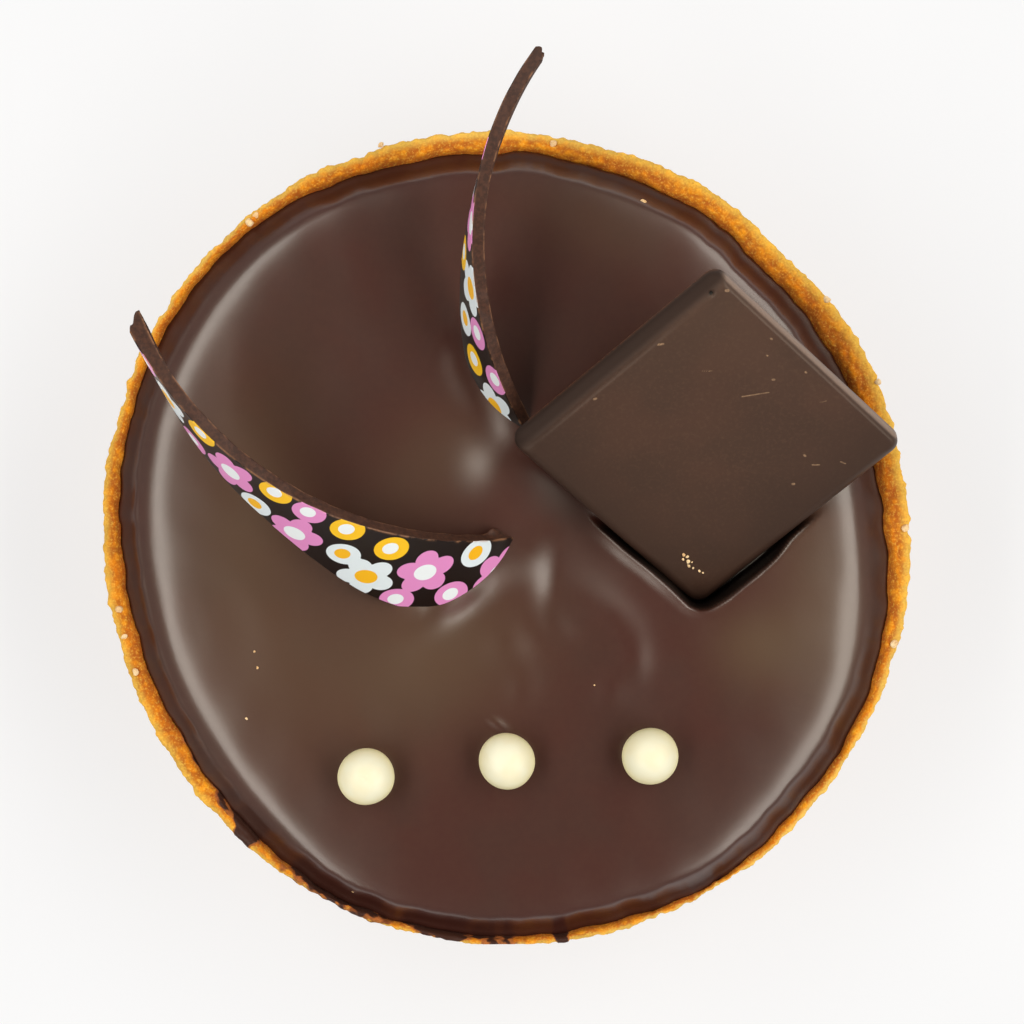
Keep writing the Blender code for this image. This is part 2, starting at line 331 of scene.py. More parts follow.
class Finish(Recipe):
    """A material being mixed."""

    def __init__(self, name):
        self.material = bpy.data.materials.new(name)
        self.material.use_nodes = True
        super().__init__(self.material.node_tree)
        self.shader = self.tree.nodes["Principled BSDF"]

    def place(self):
        """Object coordinates through a Mapping node, in millimetres."""
        raw = self.node("TexCoord", {}, {}, "Object")
        return self.node("Mapping", {}, {"Vector": raw, "Scale": (1.0 / MM,) * 3})

    def noise(self, place, size, detail=2.0, roughness=0.5):
        """Smooth noise about 0.5, with features of about size millimetres."""
        inputs = {"Vector": place, "Scale": 1.0 / size, "Detail": detail, "Roughness": roughness}
        return self.node("TexNoise", {}, inputs)

    def mark(self, name):
        """A value that the mesh carries."""
        return self.node("Attribute", {"attribute_name": name}, {}, "Fac")

    def mix(self, factor, first, second):
        """The first colour where factor is 0, the second where it is 1."""
        # A Mix node for colours takes them at sockets 6 and 7 and gives the mixture at 2
        return self.node("Mix", {"data_type": "RGBA"}, {0: factor, 6: first, 7: second}, 2)

    def bump(self, height, distance, strength=1.0):
        """A normal bent by a height from 0 to 1, which stands for distance millimetres."""
        inputs = {"Height": height, "Distance": distance * MM, "Strength": strength}
        return self.node("Bump", {}, inputs)

    def set(self, **sockets):
        """Values or links for the shader, with _ for a space in a socket's name."""
        for socket, value in sockets.items():
            title = socket.replace("_", " ").title().replace("Ior", "IOR")
            self.put(self.shader.inputs[title], value)
        return self.material


def paint(red, green, blue):
    """A colour as seen on a screen, 0 to 255, turned into the linear light of a shader."""
    screen = np.array([red, green, blue]) / 255.0
    linear = np.where(screen <= 0.04045, screen / 12.92, ((screen + 0.055) / 1.055) ** 2.4)
    return (*(float(c) for c in linear), 1.0)


# %% [markdown]
# ## The pastry shell
#
# Sweet pastry is pressed into a ring, chilled and baked, so its side is flat and smooth where
# it touched the metal, and its cut rim is rough crumb. A turned profile would be too even, so
# the shell is a grid: columns round the tart, and rows that go from under the base, up the
# side, over the rim and down inside. The rim's rows are the closest together, because crumb
# is finer than anything else on the shell.

# %% Shape of the shell
SHELL_COLUMNS = 1300
TAPER = 0.5                 # the foot's radius is this much smaller than the rim's
FOOT_ROUND = 0.9            # rounding between the base and the side
RIM_ARCH = 1.0              # height of the rim's arch over the side and the glaze line
ARCH_POWER = 0.45           # less than 1 flattens the arch's top and steepens its sides
RIM_TILT = 0.2              # the rim falls this much towards the glaze,
RIM_FALL = 1.3              # and this much more in its last part
NARROWEST = 0.5             # the rim is never drawn narrower than this
TUCKED = 0.05               # the rim starts this far outside the glaze's edge
RIM_RADIUS = 40.0           # about, for the length of small waves
BASE_INSET = 0.4            # the flat base ends this far in from the foot


def wander(angles, size, amount, seed):
    """A small random wave round the tart, about size millimetres long on the rim."""
    ring = RIM_RADIUS * np.stack([np.cos(angles), np.sin(angles)], axis=-1)
    return amount * drift(ring, size, seed)


# Where the glaze laps further over the rim: direction and half width in degrees, how far
GLAZE_LAPS = (
    (-90.0, 70.0, 0.55), (-22.0, 14.0, 0.40), (136.0, 14.0, 0.35),
    (72.0, 13.0, -0.85), (-157.0, 12.0, 0.30), (-114.0, 10.0, 0.28),
)
# Where the rim stands further out: the same
RIM_PROUD = ((-80.0, 45.0, 0.10), (155.0, 14.0, 0.25), (72.0, 14.0, -0.45), (14.0, 18.0, -0.50))
# Chocolate that ran over the rim: direction, half width, how far out, thickness. How far out
# is 0 at the glaze and 1 at the rim's outer edge, and more than 1 runs down the side.
SPILLS = (
    (-131.2, 1.9, 2.0, 1.15),
    (-135.5, 4.0, 0.55, 0.78),
    (-115.2, 9.2, 1.80, 0.76),
    (-117.0, 8.0, 0.40, 0.30),
    (-99.8, 4.4, 1.05, 0.92),
    (-91.0, 4.6, 1.30, 0.70),
    (-82.2, 1.1, 1.6, 1.15),
    (-145.0, 6.0, 0.25, 0.60),
)


def even_edge(angles):
    """Radius where the glaze meets the rim, before its small wriggles."""
    return smooth_round(GLAZE_LINE, angles) + swelling(angles, 0.0, GLAZE_LAPS)


def glaze_edge(angles):
    """The same with the small wriggles of a poured edge."""
    return even_edge(angles) + wander(angles, 5.0, 0.12, 11) + wander(angles, 1.6, 0.03, 12)


def rim_width(rim, line):
    """Width of the rim from the glaze line to its outer edge."""
    return np.maximum(rim - line, NARROWEST)


def shell_grid():
    """Rows of radius and height, one value of each for every angle.

    From below: the flat base, a foot rounded by a quarter circle, the side as a straight
    line, the rim, and a plain wall and floor inside that nothing shows. The rim is the arch
    sin(turn) to a power below 1, for turn from 0 at the side to half a circle at the glaze.
    """
    angles = np.linspace(0.0, TAU, SHELL_COLUMNS, endpoint=False)
    rim = smooth_round(RIM, angles) + swelling(angles, 0.0, RIM_PROUD) + wander(angles, 7.0, 0.09, 1)
    rim += wander(angles, 2.0, 0.06, 2)
    top = smooth_round(RIM_TOP, angles) + wander(angles, 6.0, 0.12, 3)
    line = glaze_edge(angles) + TUCKED
    width = rim_width(rim, line)
    flat = 0.0 * rim
    rows = []
    for share in (0.10, 0.60, 0.985):
        rows.append(((rim - TAPER - BASE_INSET) * share, flat))
    for turn in np.linspace(0.15, 1.0, 5) * TAU / 4:
        out = rim - TAPER - FOOT_ROUND + FOOT_ROUND * np.sin(turn)
        rows.append((out, flat + FOOT_ROUND - FOOT_ROUND * np.cos(turn)))
    for share in np.linspace(0.04, 1.0, 20) ** 0.8:
        rise = (top - (FOOT_ROUND + RIM_ARCH)) * share
        rows.append((rim - TAPER * (1.0 - share), FOOT_ROUND + rise))
    for share in np.linspace(0.03, 1.0, 41):
        turn = share * TAU / 2
        across = (1.0 - math.cos(turn)) / 2
        rise = math.sin(turn) ** ARCH_POWER if share < 1.0 else 0.0
        level = top - RIM_ARCH + rise - RIM_TILT * across - RIM_FALL * across ** 6
        rows.append((rim - width * across, level))
    for share in (0.3, 1.0):
        rows.append((line - 1.2 * share, top - 2.5 - 1.5 * share))
    rows.append((line - 3.0, flat + 5.0))
    rows.append(((line - 4.0) * 0.3, flat + 4.0))
    radius = np.array([row[0] for row in rows])
    height = np.array([row[1] for row in rows])
    grid = np.stack([radius * np.cos(angles), radius * np.sin(angles), height], axis=-1)
    return grid, radius, height, rim, line, top


def spilled(grid, angles, across):
    """How thick the chocolate film is: a thread at the joint, the spills, and a ragged drift.

    Each spill is a sector that narrows on its way out and ends at its reach. The film is
    less than 0 where the crumb is bare.
    """
    film = -0.45 + 0.95 * np.exp(-(np.maximum(across, 0.0) / 0.09) ** 2)
    for direction, half_width, reach, thickness in SPILLS:
        narrower = half_width * (1.15 - 0.5 * np.clip(across / reach, 0.0, 1.0))
        sector = np.exp(-(degrees_from(angles, direction) / narrower) ** 4)
        film = film + thickness * sector * (1.0 - ease(across, reach - 0.20, reach + 0.15))
    return film + 0.16 * drift(grid, 1.5, 13) + 0.08 * drift(grid, 0.7, 14)


BOX_MARGIN = 0.01


def kept_inside(points):
    """The points held just inside the CAD model's box."""
    low, high = (np.array(corner) / MM for corner in cad_box)
    return np.clip(points, low + BOX_MARGIN, high - BOX_MARGIN)


CLOD, GRAIN, SAND = 1.6, 0.80, 0.45         # sizes of the crumb's grains


def shell_crumb(grid, radius, height, rim, line, top):
    """Crumb on the rim: grains of three sizes pushed up, and outwards at the outer edge.

    A grain is 0.5 less the distance to its middle, so it is a hill of 0.5 with creases
    below 0. Where chocolate has run over it, the crumb is filled in and the film stands a
    little proud.
    """
    above = ease(height, top - 2.6, top - 0.6)
    inside = ease(line - radius, 0.2, 1.0)
    open_rim = above * (1.0 - inside)
    clods = 0.5 - pebbles(grid, CLOD, 5)
    grains = 0.5 - pebbles(grid, GRAIN, 6)
    sand = 0.5 - pebbles(grid, SAND, 4)
    rolls = drift(grid, 3.2, 7)
    down_side = np.maximum(top - RIM_ARCH - height, 0.0) / 3.0
    across = (radius - line) / rim_width(rim, line) + down_side
    film = spilled(grid, np.arctan2(grid[..., 1], grid[..., 0]), across)
    cover = ease(film, 0.05, 0.35)
    rough = (1.0 - 0.75 * cover) * (0.20 * clods + 0.20 * grains + 0.11 * sand) + 0.08 * rolls
    side = (1.0 - above) * ease(height, 0.3, 1.5)
    press = side * (0.05 * drift(grid, 4.0, 8) + 0.03 * drift(grid, 1.6, 9))
    edge = ease(height, top - 6.0, top - 2.0) * (1.0 - ease(rim - radius, 0.3, 1.3))
    outward = grid[..., :2] / np.maximum(radius, 1e-6)[..., None]
    jagged = (1.0 - 0.6 * cover) * (0.20 * clods + 0.26 * grains + 0.12 * sand)
    shift = press + edge * (jagged + 0.10 * cover)
    grid = grid.copy()
    grid[..., 2] += open_rim * (rough + 0.14 * cover)
    grid[..., :2] += outward * shift[..., None]
    crumb = (1.2 * clods + 1.1 * grains + 0.7 * sand) * (0.15 + 0.85 * above)
    return kept_inside(grid), open_rim, crumb, film


# Where the rim baked paler: direction, half width, how much
PALER = ((-48.0, 34.0, 1.0), (140.0, 20.0, 0.6), (92.0, 14.0, 0.5))

smooth_shell = shell_grid()
_, shell_radius, _, shell_rim, shell_line, _ = smooth_shell
shell, open_rim, crumb, film = shell_crumb(*smooth_shell)
shell_marks = {
    "open_rim": open_rim,
    "crumb": crumb,
    "to_edge": (shell_rim - shell_radius) / rim_width(shell_rim, shell_line),
    "film": film,
    "pale": swelling(np.arctan2(shell[..., 1], shell[..., 0]), 0.0, PALER),
}
pastry = skin("pastry_shell", shell, shell_marks)
serve(pastry, "pastry", "crust")

# %% [markdown]
# ## Baked pastry
#
# Butter pastry browns where it is thin and stays yellow where it is thick or shaded. The
# colour runs from straw yellow at the outer edge to orange brown towards the glaze, and the
# creases of the crumb are painted darker than its tops, as painted shade. The side touched the
# metal and is a duller, even brown. The crumb's height and the chocolate film come with the mesh,
# and finer grain is noise, as colour and as bump; its pale flecks are painted glints.

# %% Finish of the pastry
def pastry_finish():
    """Golden, brown and straw by the crumb, the edge and noise; then the side and the film.

    to_edge is 0 at the rim's outer edge and 1 at the glaze.
    """
    mix = Finish("baked_pastry")
    place = mix.place()
    patches = mix.noise(place, 4.0, 2.0)
    flecks = mix.noise(place, 0.9, 4.0, 0.6)
    grain = mix.noise(place, 0.22, 3.0, 0.6)
    golden = paint(236, 152, 26)
    orange = paint(219, 122, 12)
    brown = paint(156, 74, 24)
    straw = paint(246, 206, 88)
    base = mix.mix((patches * 0.9 + flecks * 0.7).between(0.55, 1.05), golden, orange)
    # Painted shade: darker brown in the creases of the crumb
    deep = (0.15 - mix.mark("crumb")).between(-0.50, 0.70)
    base = mix.mix(deep * 0.80, base, brown)
    outer = (1.0 - mix.mark("to_edge")).between(0.50, 1.00)
    base = mix.mix(outer * 0.60, base, straw)
    base = mix.mix(mix.mark("to_edge").between(0.62, 0.98) * 0.65, base, brown)
    # Painted glints: pale straw flecks by the fine grain
    base = mix.mix(grain.between(0.48, 0.75) * 0.45, base, straw)
    base = mix.mix((1.0 - grain).between(0.50, 0.75) * 0.35, base, brown)
    base = mix.mix(mix.mark("pale") * outer * 0.50, base, paint(244, 208, 112))
    side = mix.mix(flecks.between(0.35, 0.65), paint(222, 164, 88), paint(204, 140, 68))
    side = mix.mix(patches.between(0.45, 0.70) * 0.55, side, paint(178, 108, 46))
    side = mix.mix(grain.between(0.48, 0.75) * 0.35, side, paint(236, 188, 118))
    base = mix.mix(mix.mark("open_rim").between(0.10, 0.80), side, base)
    thin = mix.mix(flecks.between(0.40, 0.62), paint(168, 96, 50), paint(112, 60, 38))
    base = mix.mix(mix.mark("film").between(-0.04, 0.16) * 0.85, base, thin)
    covered = mix.mark("film").between(0.24, 0.36)
    base = mix.mix(covered, base, paint(62, 36, 27))
    open_film = covered * (1.0 - mix.mark("to_edge").between(0.80, 0.92))
    height = flecks * 0.5 + grain * 0.5
    return mix.set(
        base_color=base,
        roughness=0.80 - open_film * 0.42,
        normal=mix.bump(height, 0.14, 0.6),
        specular_ior_level=0.16,
    )


pastry.data.materials.append(pastry_finish())

# %% [markdown]
# ## The glazed ganache
#
# Ganache is poured to the rim and glazed while warm. The glaze stands in a low dome, turns
# over a soft shoulder and falls steeply to the pastry. The height is one function of the
# distance from the edge. To that come the marks of the toppings: humps pushed up beside
# them, hollows drawn down by them and a gap under the plaque's low corner. So the plaque and
# the curls are placed first, and the glaze is shaped round them.

# %% Where the plaque stands
PLAQUE_SIDE = 27.1
HALF_PLAQUE = PLAQUE_SIDE / 2
PLAQUE_THICKNESS = 2.0
PLAQUE_CORNER = 1.3         # radius of its corners, seen from above
PLAQUE_CENTRE = np.array([19.4, 8.8, 27.8])         # of its top face
PLAQUE_TURNS = (("Z", -45.2), ("X", 32.6), ("Y", 2.0))


def turned(turns):
    """Three axes, one a row, after the turns in degrees, the first turn first."""
    total = Matrix.Identity(3)
    for axis, angle in turns:
        total = Matrix.Rotation(math.radians(angle), 3, axis) @ total
    return np.array(total.transposed())


PLAQUE_AXES = turned(PLAQUE_TURNS)
low_corner = PLAQUE_CENTRE + HALF_PLAQUE * (PLAQUE_AXES[0] - PLAQUE_AXES[1])
print("plaque's low corner at", np.round(low_corner, 1))


def plaque_local(x, y, z):
    """Coordinates along the plaque's sides and above its top face."""
    offset = np.stack([x, y, z], axis=-1) - PLAQUE_CENTRE
    return np.moveaxis(offset @ PLAQUE_AXES.T, -1, 0)


def plaque_height(x, y, level):
    """Height of the plane that lies level above the plaque's top face."""
    normal = PLAQUE_AXES[2]
    reach = (x - PLAQUE_CENTRE[0]) * normal[0] + (y - PLAQUE_CENTRE[1]) * normal[1]
    return PLAQUE_CENTRE[2] + (level - reach) / normal[2]


# %% [markdown]
# A curl is a strip wound round a tube. The tube leans by lean towards heading, and its centre
# is given across and along that lean. The strip's angle round the tube runs from tip to root.
# Its radius changes by opening for each radian, and it climbs by rise and bow. It is point
# wide at its tip, narrow after the taper, and reaches its full width over the widening. The
# broken end is cut aslant by skew, a shard stands up at the root, and blunt thickens the tip.

# %% Where the curls stand
CURL_THICKNESS = 1.25
CURLS = {
    "curl_side": {
        "lean": math.radians(41.1),
        "heading": math.radians(114.7),
        "across": 7.8,
        "along": 0.2,
        "radius": 16.2,
        "opening": -0.5,
        "height": 50.9,
        "rise": 17.6,
        "bow": 0.5,
        "width": 13.6,
        "narrow": 9.3,
        "point": 2.5,
        "taper": math.radians(15.0),
        "widening": (math.radians(34.0), math.radians(72.0)),
        "tip": math.radians(1.5),
        "skew": math.radians(3.0),
        "root": math.radians(-120.5),
        "shard": 1.0,
        "blunt": 0.35,
    },
    "curl_back": {
        "lean": math.radians(27.2),
        "heading": math.radians(72.7),
        "across": -4.5,
        "along": 12.1,
        "radius": 17.3,
        "opening": 2.4,
        "height": 46.0,
        "rise": 16.3,
        "bow": -1.6,
        "width": 10.0,
        "narrow": 10.0,
        "point": 1.0,
        "taper": math.radians(60.0),
        "widening": (math.radians(60.0), math.radians(90.0)),
        "tip": math.radians(33.6),
        "skew": math.radians(-0.6),
        "root": math.radians(-78.0),
        "shard": 0.0,
        "blunt": 0.0,
    },
}


def strip_points(curl, angles, widths, depths):
    """Points of a strip wound round a leaning tube.

    The tube leans by lean towards heading. At each angle the strip lies at the tube's
    radius less the depth, and climbs by rise for each radian; the width is measured down
    the tube from the strip's upper edge.
    """
    lean, heading = curl["lean"], curl["heading"]
    flat = np.array([math.cos(heading), math.sin(heading), 0.0])
    side = np.array([-math.sin(heading), math.cos(heading), 0.0])
    upright = np.array([0.0, 0.0, 1.0])
    axis = math.sin(lean) * flat + math.cos(lean) * upright
    front = math.cos(lean) * flat - math.sin(lean) * upright
    radius = curl["radius"] + curl["opening"] * angles - depths
    climb = curl["height"] + curl["rise"] * angles + curl["bow"] * angles ** 2 - widths
    sideways = curl["across"] + radius * np.cos(angles)
    forward = curl["along"] + radius * np.sin(angles)
    return sideways[..., None] * side + forward[..., None] * front + climb[..., None] * axis


def strip_width(curl, angles):
    """Width of the strip: its point, narrow after the taper, then wide, each by an S-curve."""
    from_tip = curl["tip"] - angles
    narrow = (curl["narrow"] - curl["point"]) * ease(from_tip, 0.0, curl["taper"])
    wide = (curl["width"] - curl["narrow"]) * ease(from_tip, *curl["widening"])
    return curl["point"] + narrow + wide


# %% Shape of the glaze
GLAZE_COLUMNS = 560
GLAZE_RIM = 19.15           # height of the glaze where it meets the rim
UNDER_RIM = 0.25            # the glaze goes on this far under the crumb,
UNDER_SLOPE = 0.62          # falling by this much for each millimetre
# Distance in from the edge and slope there in degrees: steep side, shoulder, dome
SLOPES = (
    (0.0, 30.0), (0.3, 33.0), (1.2, 33.0), (2.0, 35.5), (2.4, 35.0), (2.8, 29.0),
    (3.2, 21.5), (3.8, 15.5), (4.6, 10.5), (5.6, 7.0), (7.5, 4.4), (10.0, 2.6),
    (14.0, 1.4), (20.0, 0.7), (30.0, 0.2), (42.0, 0.0),
)
# The steep side is narrower than that, and wider again in places: direction and half width
# in degrees, how much wider
NARROWER_SIDE = -0.95
WIDER_SIDE = (
    (180.0, 34.0, 0.70), (228.0, 20.0, 0.60), (250.0, 14.0, -0.60),
    (0.0, 24.0, 0.80), (325.0, 16.0, 0.05), (140.0, 18.0, 0.75),
)

# Soft marks in the surface: x, y, half length, half width to the left and to the right,
# direction in degrees, height
MARKS = (
    # the hump beside the curl's broken end, with the flank that catches the light
    (5.1, -4.5, 3.6, 2.15, 4.6, 82.0, 0.74),
    # the curved ridge further right, in three strokes, and its faint left side
    (8.6, -6.6, 2.4, 1.9, 1.6, -15.0, 0.22),
    (11.2, -8.0, 2.4, 1.8, 1.6, -52.0, 0.20),
    (12.6, -12.2, 2.6, 1.5, 1.9, -90.0, 0.22),
    (4.8, -9.0, 2.2, 1.5, 1.5, -45.0, 0.16),
    (1.6, -15.0, 2.4, 1.8, 2.0, 80.0, 0.24),
    (0.2, -10.6, 2.6, 2.2, 2.4, 60.0, 0.32),
    (10.2, -15.0, 2.2, 1.7, 1.7, 80.0, 0.18),
    # between the back curl and the plaque
    (0.2, 7.6, 4.2, 3.4, 5.6, 64.0, 1.02),
    (-6.2, 18.9, 1.8, 1.4, 2.2, 80.0, 0.16),
    # hollows drawn down by the curls and the plaque
    (7.8, 2.0, 4.6, 4.4, 4.4, -40.0, -0.30),
    (-3.4, -4.4, 6.0, 2.6, 2.2, 33.0, -0.85),
    (-6.4, -6.4, 2.6, 1.8, 1.8, 33.0, -0.36),
    (-3.2, 14.6, 6.0, 1.8, 1.8, -61.0, -0.45),
    # the soft bank below the side curl
    (-3.2, -8.4, 5.0, 2.2, 3.6, 33.0, 0.36),
    # slow swells, and a small drag beside the middle pearl
    (-19.0, -5.0, 7.0, 3.0, 3.0, -35.0, -0.08),
    (6.0, -20.0, 6.0, 3.5, 3.5, 20.0, 0.06),
    (-0.9, -18.4, 1.1, 0.40, 0.40, 150.0, -0.20),
)
CONTACT_LEVEL = 21.0        # height of the glaze beside the curls,
CONTACT_REACH = 0.15        # which a point of a curl is at if it is this near
CURL_SWELL, SWELL_WIDTH = 0.07, 1.3         # the glaze rises a little where it wets a curl
# A faint second ring on one side: direction, half width in degrees, height
SECOND_RING = ((185.0, 42.0, 0.13),)
RING_PLACE, RING_WIDTH = 1.60, 0.36         # distance in from the edge, half width
LEFT_BANK, LOW_BANK = 0.32, 0.18            # how far the glaze sags towards the plaque
BELOW_PLAQUE = 0.35         # the pit's floor lies this far below the plaque's back


def mound(x, y, spot):
    """A soft mound: a Gaussian hill along its direction, whose two flanks may differ."""
    middle_x, middle_y, long, left, right, direction, amount = spot
    turn = math.radians(direction)
    along = (x - middle_x) * math.cos(turn) + (y - middle_y) * math.sin(turn)
    aside = (y - middle_y) * math.cos(turn) - (x - middle_x) * math.sin(turn)
    width = np.where(aside > 0, left, right)
    return amount * np.exp(-(along / long) ** 2 - (aside / width) ** 2)


def shoulder_height(inwards):
    """Height above the glaze line: the tangents of the slopes summed up along the way in.

    Beyond the line, where inwards is less than 0, the glaze falls on under the crumb.
    """
    fine = np.linspace(0.0, SLOPES[-1][0], 4201)        # a sample every 0.01
    slopes = np.interp(fine, [knot[0] for knot in SLOPES], [knot[1] for knot in SLOPES])
    reach = 7                   # samples on each side that smooth a slope
    kernel = np.hanning(2 * reach + 3)[1:-1]
    slopes = np.convolve(np.pad(slopes, reach, mode="edge"), kernel / kernel.sum(), mode="valid")
    rise = np.cumsum(np.tan(np.radians(slopes))) * (fine[1] - fine[0])
    return np.interp(inwards, fine, rise - rise[0]) + UNDER_SLOPE * np.minimum(inwards, 0.0)


def side_shift(angles, steps):
    """How much wider the steep side is than its slopes say, fading in from the edge."""
    return swelling(angles, NARROWER_SIDE, WIDER_SIDE) * ease(steps, 0.6, 2.4)


def contact_line(curl):
    """Where the printed face of a curl passes through the glaze: points from end to end.

    At each angle it is the point across the strip that is nearest to the contact level.
    """
    angles = np.linspace(curl["tip"], curl["root"], 240)
    shares = np.linspace(0.0, 1.0, 60)
    widths = strip_width(curl, angles)[:, None] * shares
    grid_angles = np.repeat(angles[:, None], len(shares), axis=1)
    points = strip_points(curl, grid_angles, widths, 0.0 * widths)
    off = np.abs(points[..., 2] - CONTACT_LEVEL)
    best = off.argmin(axis=1)
    rows = np.arange(len(angles))
    near = off[rows, best] < CONTACT_REACH
    return points[rows, best][near][:, :2]


def distance_to(x, y, line):
    """Distance from each grid point to the nearest of a line's points."""
    nearest = np.full(x.shape, np.inf)
    for middle_x, middle_y in line[::4]:
        nearest = np.minimum(nearest, np.hypot(x - middle_x, y - middle_y))
    return nearest


def on_plaque(x, y):
    """Where a place seen from above lies along the plaque's two sides."""
    along, aside, _ = plaque_local(x, y, plaque_height(x, y, 0.0))
    return along, aside


def plaque_outside(x, y):
    """Distance outside the plaque's rounded outline, seen from above, less than 0 under it."""
    along, aside = on_plaque(x, y)
    inner = HALF_PLAQUE - PLAQUE_CORNER
    over_a, over_b = np.abs(along) - inner, np.abs(aside) - inner
    rounded = np.hypot(np.maximum(over_a, 0.0), np.maximum(over_b, 0.0))
    return rounded + np.minimum(np.maximum(over_a, over_b), 0.0) - PLAQUE_CORNER


def plaque_gap(x, y):
    """How far the glaze stands off the plaque: most at its lower right, none at its corner."""
    along, aside = on_plaque(x, y)
    right = np.exp(-((aside + 7.4) / 5.6) ** 4) * ease(along - aside, 12.0, 18.0)
    right = right * ease(along, 9.0, 12.5)
    left = np.exp(-((along - 1.5) / 4.0) ** 4) * ease(-aside, 9.0, 12.5)
    return 0.75 * right + 0.18 * left


def bank_share(x, y):
    """Where the glaze sags towards the plaque: beside its lower left, and at its low corner."""
    along, aside = on_plaque(x, y)
    left = np.exp(-((along - 5.5) / 5.5) ** 4) * ease(-aside, 10.0, 13.0)
    low = np.exp(-((along - 14.0) / 3.0) ** 2 - ((aside + 14.0) / 3.0) ** 2)
    return left, low


def plaque_pit(x, y, inner=-0.90, outer=0.25):
    """1 where the glaze drops away beside the plaque's low corner and under it, 0 elsewhere."""
    along, aside = on_plaque(x, y)
    near_corner = ease(along - aside, 9.0, 14.0)
    return near_corner * (1.0 - ease(plaque_outside(x, y) - plaque_gap(x, y), inner, outer))


def above_back(x, y, height):
    """How far a height stands above the pit's floor, a plane below the plaque's back."""
    return height - plaque_height(x, y, -PLAQUE_THICKNESS) + BELOW_PLAQUE


def glaze_height(x, y, inwards):
    """Shoulder and dome, then the marks, the swell at the curls, the ring and the plaque's bed.

    Marks and slow waves fade out over the steep side. The bed is a bank that sags towards
    the plaque, and a pit that takes the glaze down below the plaque's back.
    """
    height = GLAZE_RIM + shoulder_height(inwards)
    fade = ease(inwards, 1.0, 4.0)
    for spot in MARKS:
        height = height + fade * mound(x, y, spot)
    flat = np.stack([x, y], axis=-1)
    height = height + fade * (0.05 * drift(flat, 16.0, 21) + 0.012 * drift(flat, 5.0, 22))
    for curl in CURLS.values():
        beside = distance_to(x, y, contact_line(curl))
        height = height + CURL_SWELL * np.exp(-(beside / SWELL_WIDTH) ** 2)
    ring = swelling(np.arctan2(y, x), 0.0, SECOND_RING)
    height = height + ring * np.exp(-((inwards - RING_PLACE) / RING_WIDTH) ** 2)
    outside = plaque_outside(x, y) - plaque_gap(x, y)
    left, low = bank_share(x, y)
    bank = (LEFT_BANK * left + LOW_BANK * low) * (1.0 - ease(outside, 0.0, 1.7))
    height = height - bank * ease(above_back(x, y, height), -0.5, 1.5)
    return height - np.maximum(above_back(x, y, height), 0.0) * plaque_pit(x, y)


# Painted sheen, where the glaze is made a little greyer as if it reflected more light: as for
# the marks, with how much for the height
PAINTED_SHEEN = (
    (-7.6, -12.0, 11.0, 7.5, 7.5, 25.0, 0.9),
    (-24.0, -10.0, 14.0, 8.0, 8.0, 100.0, 0.6),
    (-25.0, 6.0, 12.0, 6.0, 6.0, 80.0, 0.6),
    (31.0, -6.0, 12.0, 5.0, 5.0, 95.0, 0.7),
    (24.5, -10.5, 4.5, 3.5, 4.5, 10.0, 0.9),
    (9.0, 31.0, 8.0, 4.0, 4.0, -20.0, 0.4),
    (-8.0, 6.5, 9.0, 5.0, 5.0, 40.0, 0.5),
)
# Painted shade on the glaze where the plaque overhangs it, a deeper brown: the same
SHADE = (
    (7.0, 2.2, 4.6, 2.4, 2.0, -42.0, 0.85),
    (3.4, 5.6, 2.4, 1.4, 1.8, -42.0, 0.35),
)
CLOSE_BAND = 3.2            # rows are close together this far in from the edge
CLOSE_ROWS, FAR_ROWS = 30, 140


def glaze_colouring(x, y, inwards):
    """Marks for the colour: painted shade in the pit, painted sheen, painted shade by plaque and rim.
    """
    back = plaque_height(x, y, -PLAQUE_THICKNESS)
    low_part = 1.0 - ease(back, GLAZE_RIM + 1.4, GLAZE_RIM + 2.2)
    return {
        # Painted shade: the pit under the plaque's low corner is coloured nearly black
        "pit": plaque_pit(x, y, 0.05, 0.40) * low_part,
        "bloom": sum(mound(x, y, spot) for spot in PAINTED_SHEEN),
        # Painted shade: beside the plaque, and along the steep edge next to the rim
        "shade": sum(mound(x, y, spot) for spot in SHADE) + 0.50 * (1.0 - ease(inwards, 0.8, 2.4)),
    }


def glaze_grid():
    """Rows from under the filling to its side, over the edge and in to the centre.

    inwards is the distance from the wriggling edge at first, and from the even edge further
    in, so that the wriggles die out over the steep side.
    """
    angles = np.linspace(0.0, TAU, GLAZE_COLUMNS, endpoint=False)
    edge = glaze_edge(angles) + UNDER_RIM
    close = np.linspace(0.0, 1.0, CLOSE_ROWS + 1)[1:] * CLOSE_BAND
    shares = np.linspace(0.0, 1.0, FAR_ROWS + 1)[1:] ** 0.97
    far = CLOSE_BAND + (0.985 * edge[None, :] - CLOSE_BAND) * shares[:, None]
    steps = np.concatenate([np.repeat(close[:, None], len(angles), axis=1), far])
    radius = edge[None, :] - steps
    x, y = radius * np.cos(angles), radius * np.sin(angles)
    wriggle = even_edge(angles) + UNDER_RIM - edge
    inwards = steps - UNDER_RIM + wriggle * ease(steps, 0.5, 2.2) - side_shift(angles, steps)
    top = np.stack([x, y, glaze_height(x, y, inwards)], axis=-1)
    # Radius and height of the rows below the edge, which nothing shows
    below = (
        (0.1 * edge, 3.0), (edge - 3.2, 3.0), (edge - 2.6, 16.0),
        (edge - 0.8, 18.2), (edge - 0.1, GLAZE_RIM - 0.7), (edge, GLAZE_RIM - 0.28),
    )
    rows = [
        np.stack([out * np.cos(angles), out * np.sin(angles), level + 0.0 * edge], axis=-1)
        for out, level in below
    ]
    plain = np.zeros((len(below), GLAZE_COLUMNS))
    marks = glaze_colouring(x, y, inwards)
    marks = {name: np.concatenate([plain, values]) for name, values in marks.items()}
    return np.concatenate([np.array(rows), top]), marks


glaze_points, glaze_marks = glaze_grid()
glaze = skin("glazed_filling", glaze_points, glaze_marks)
serve(glaze, "glaze", "filling")
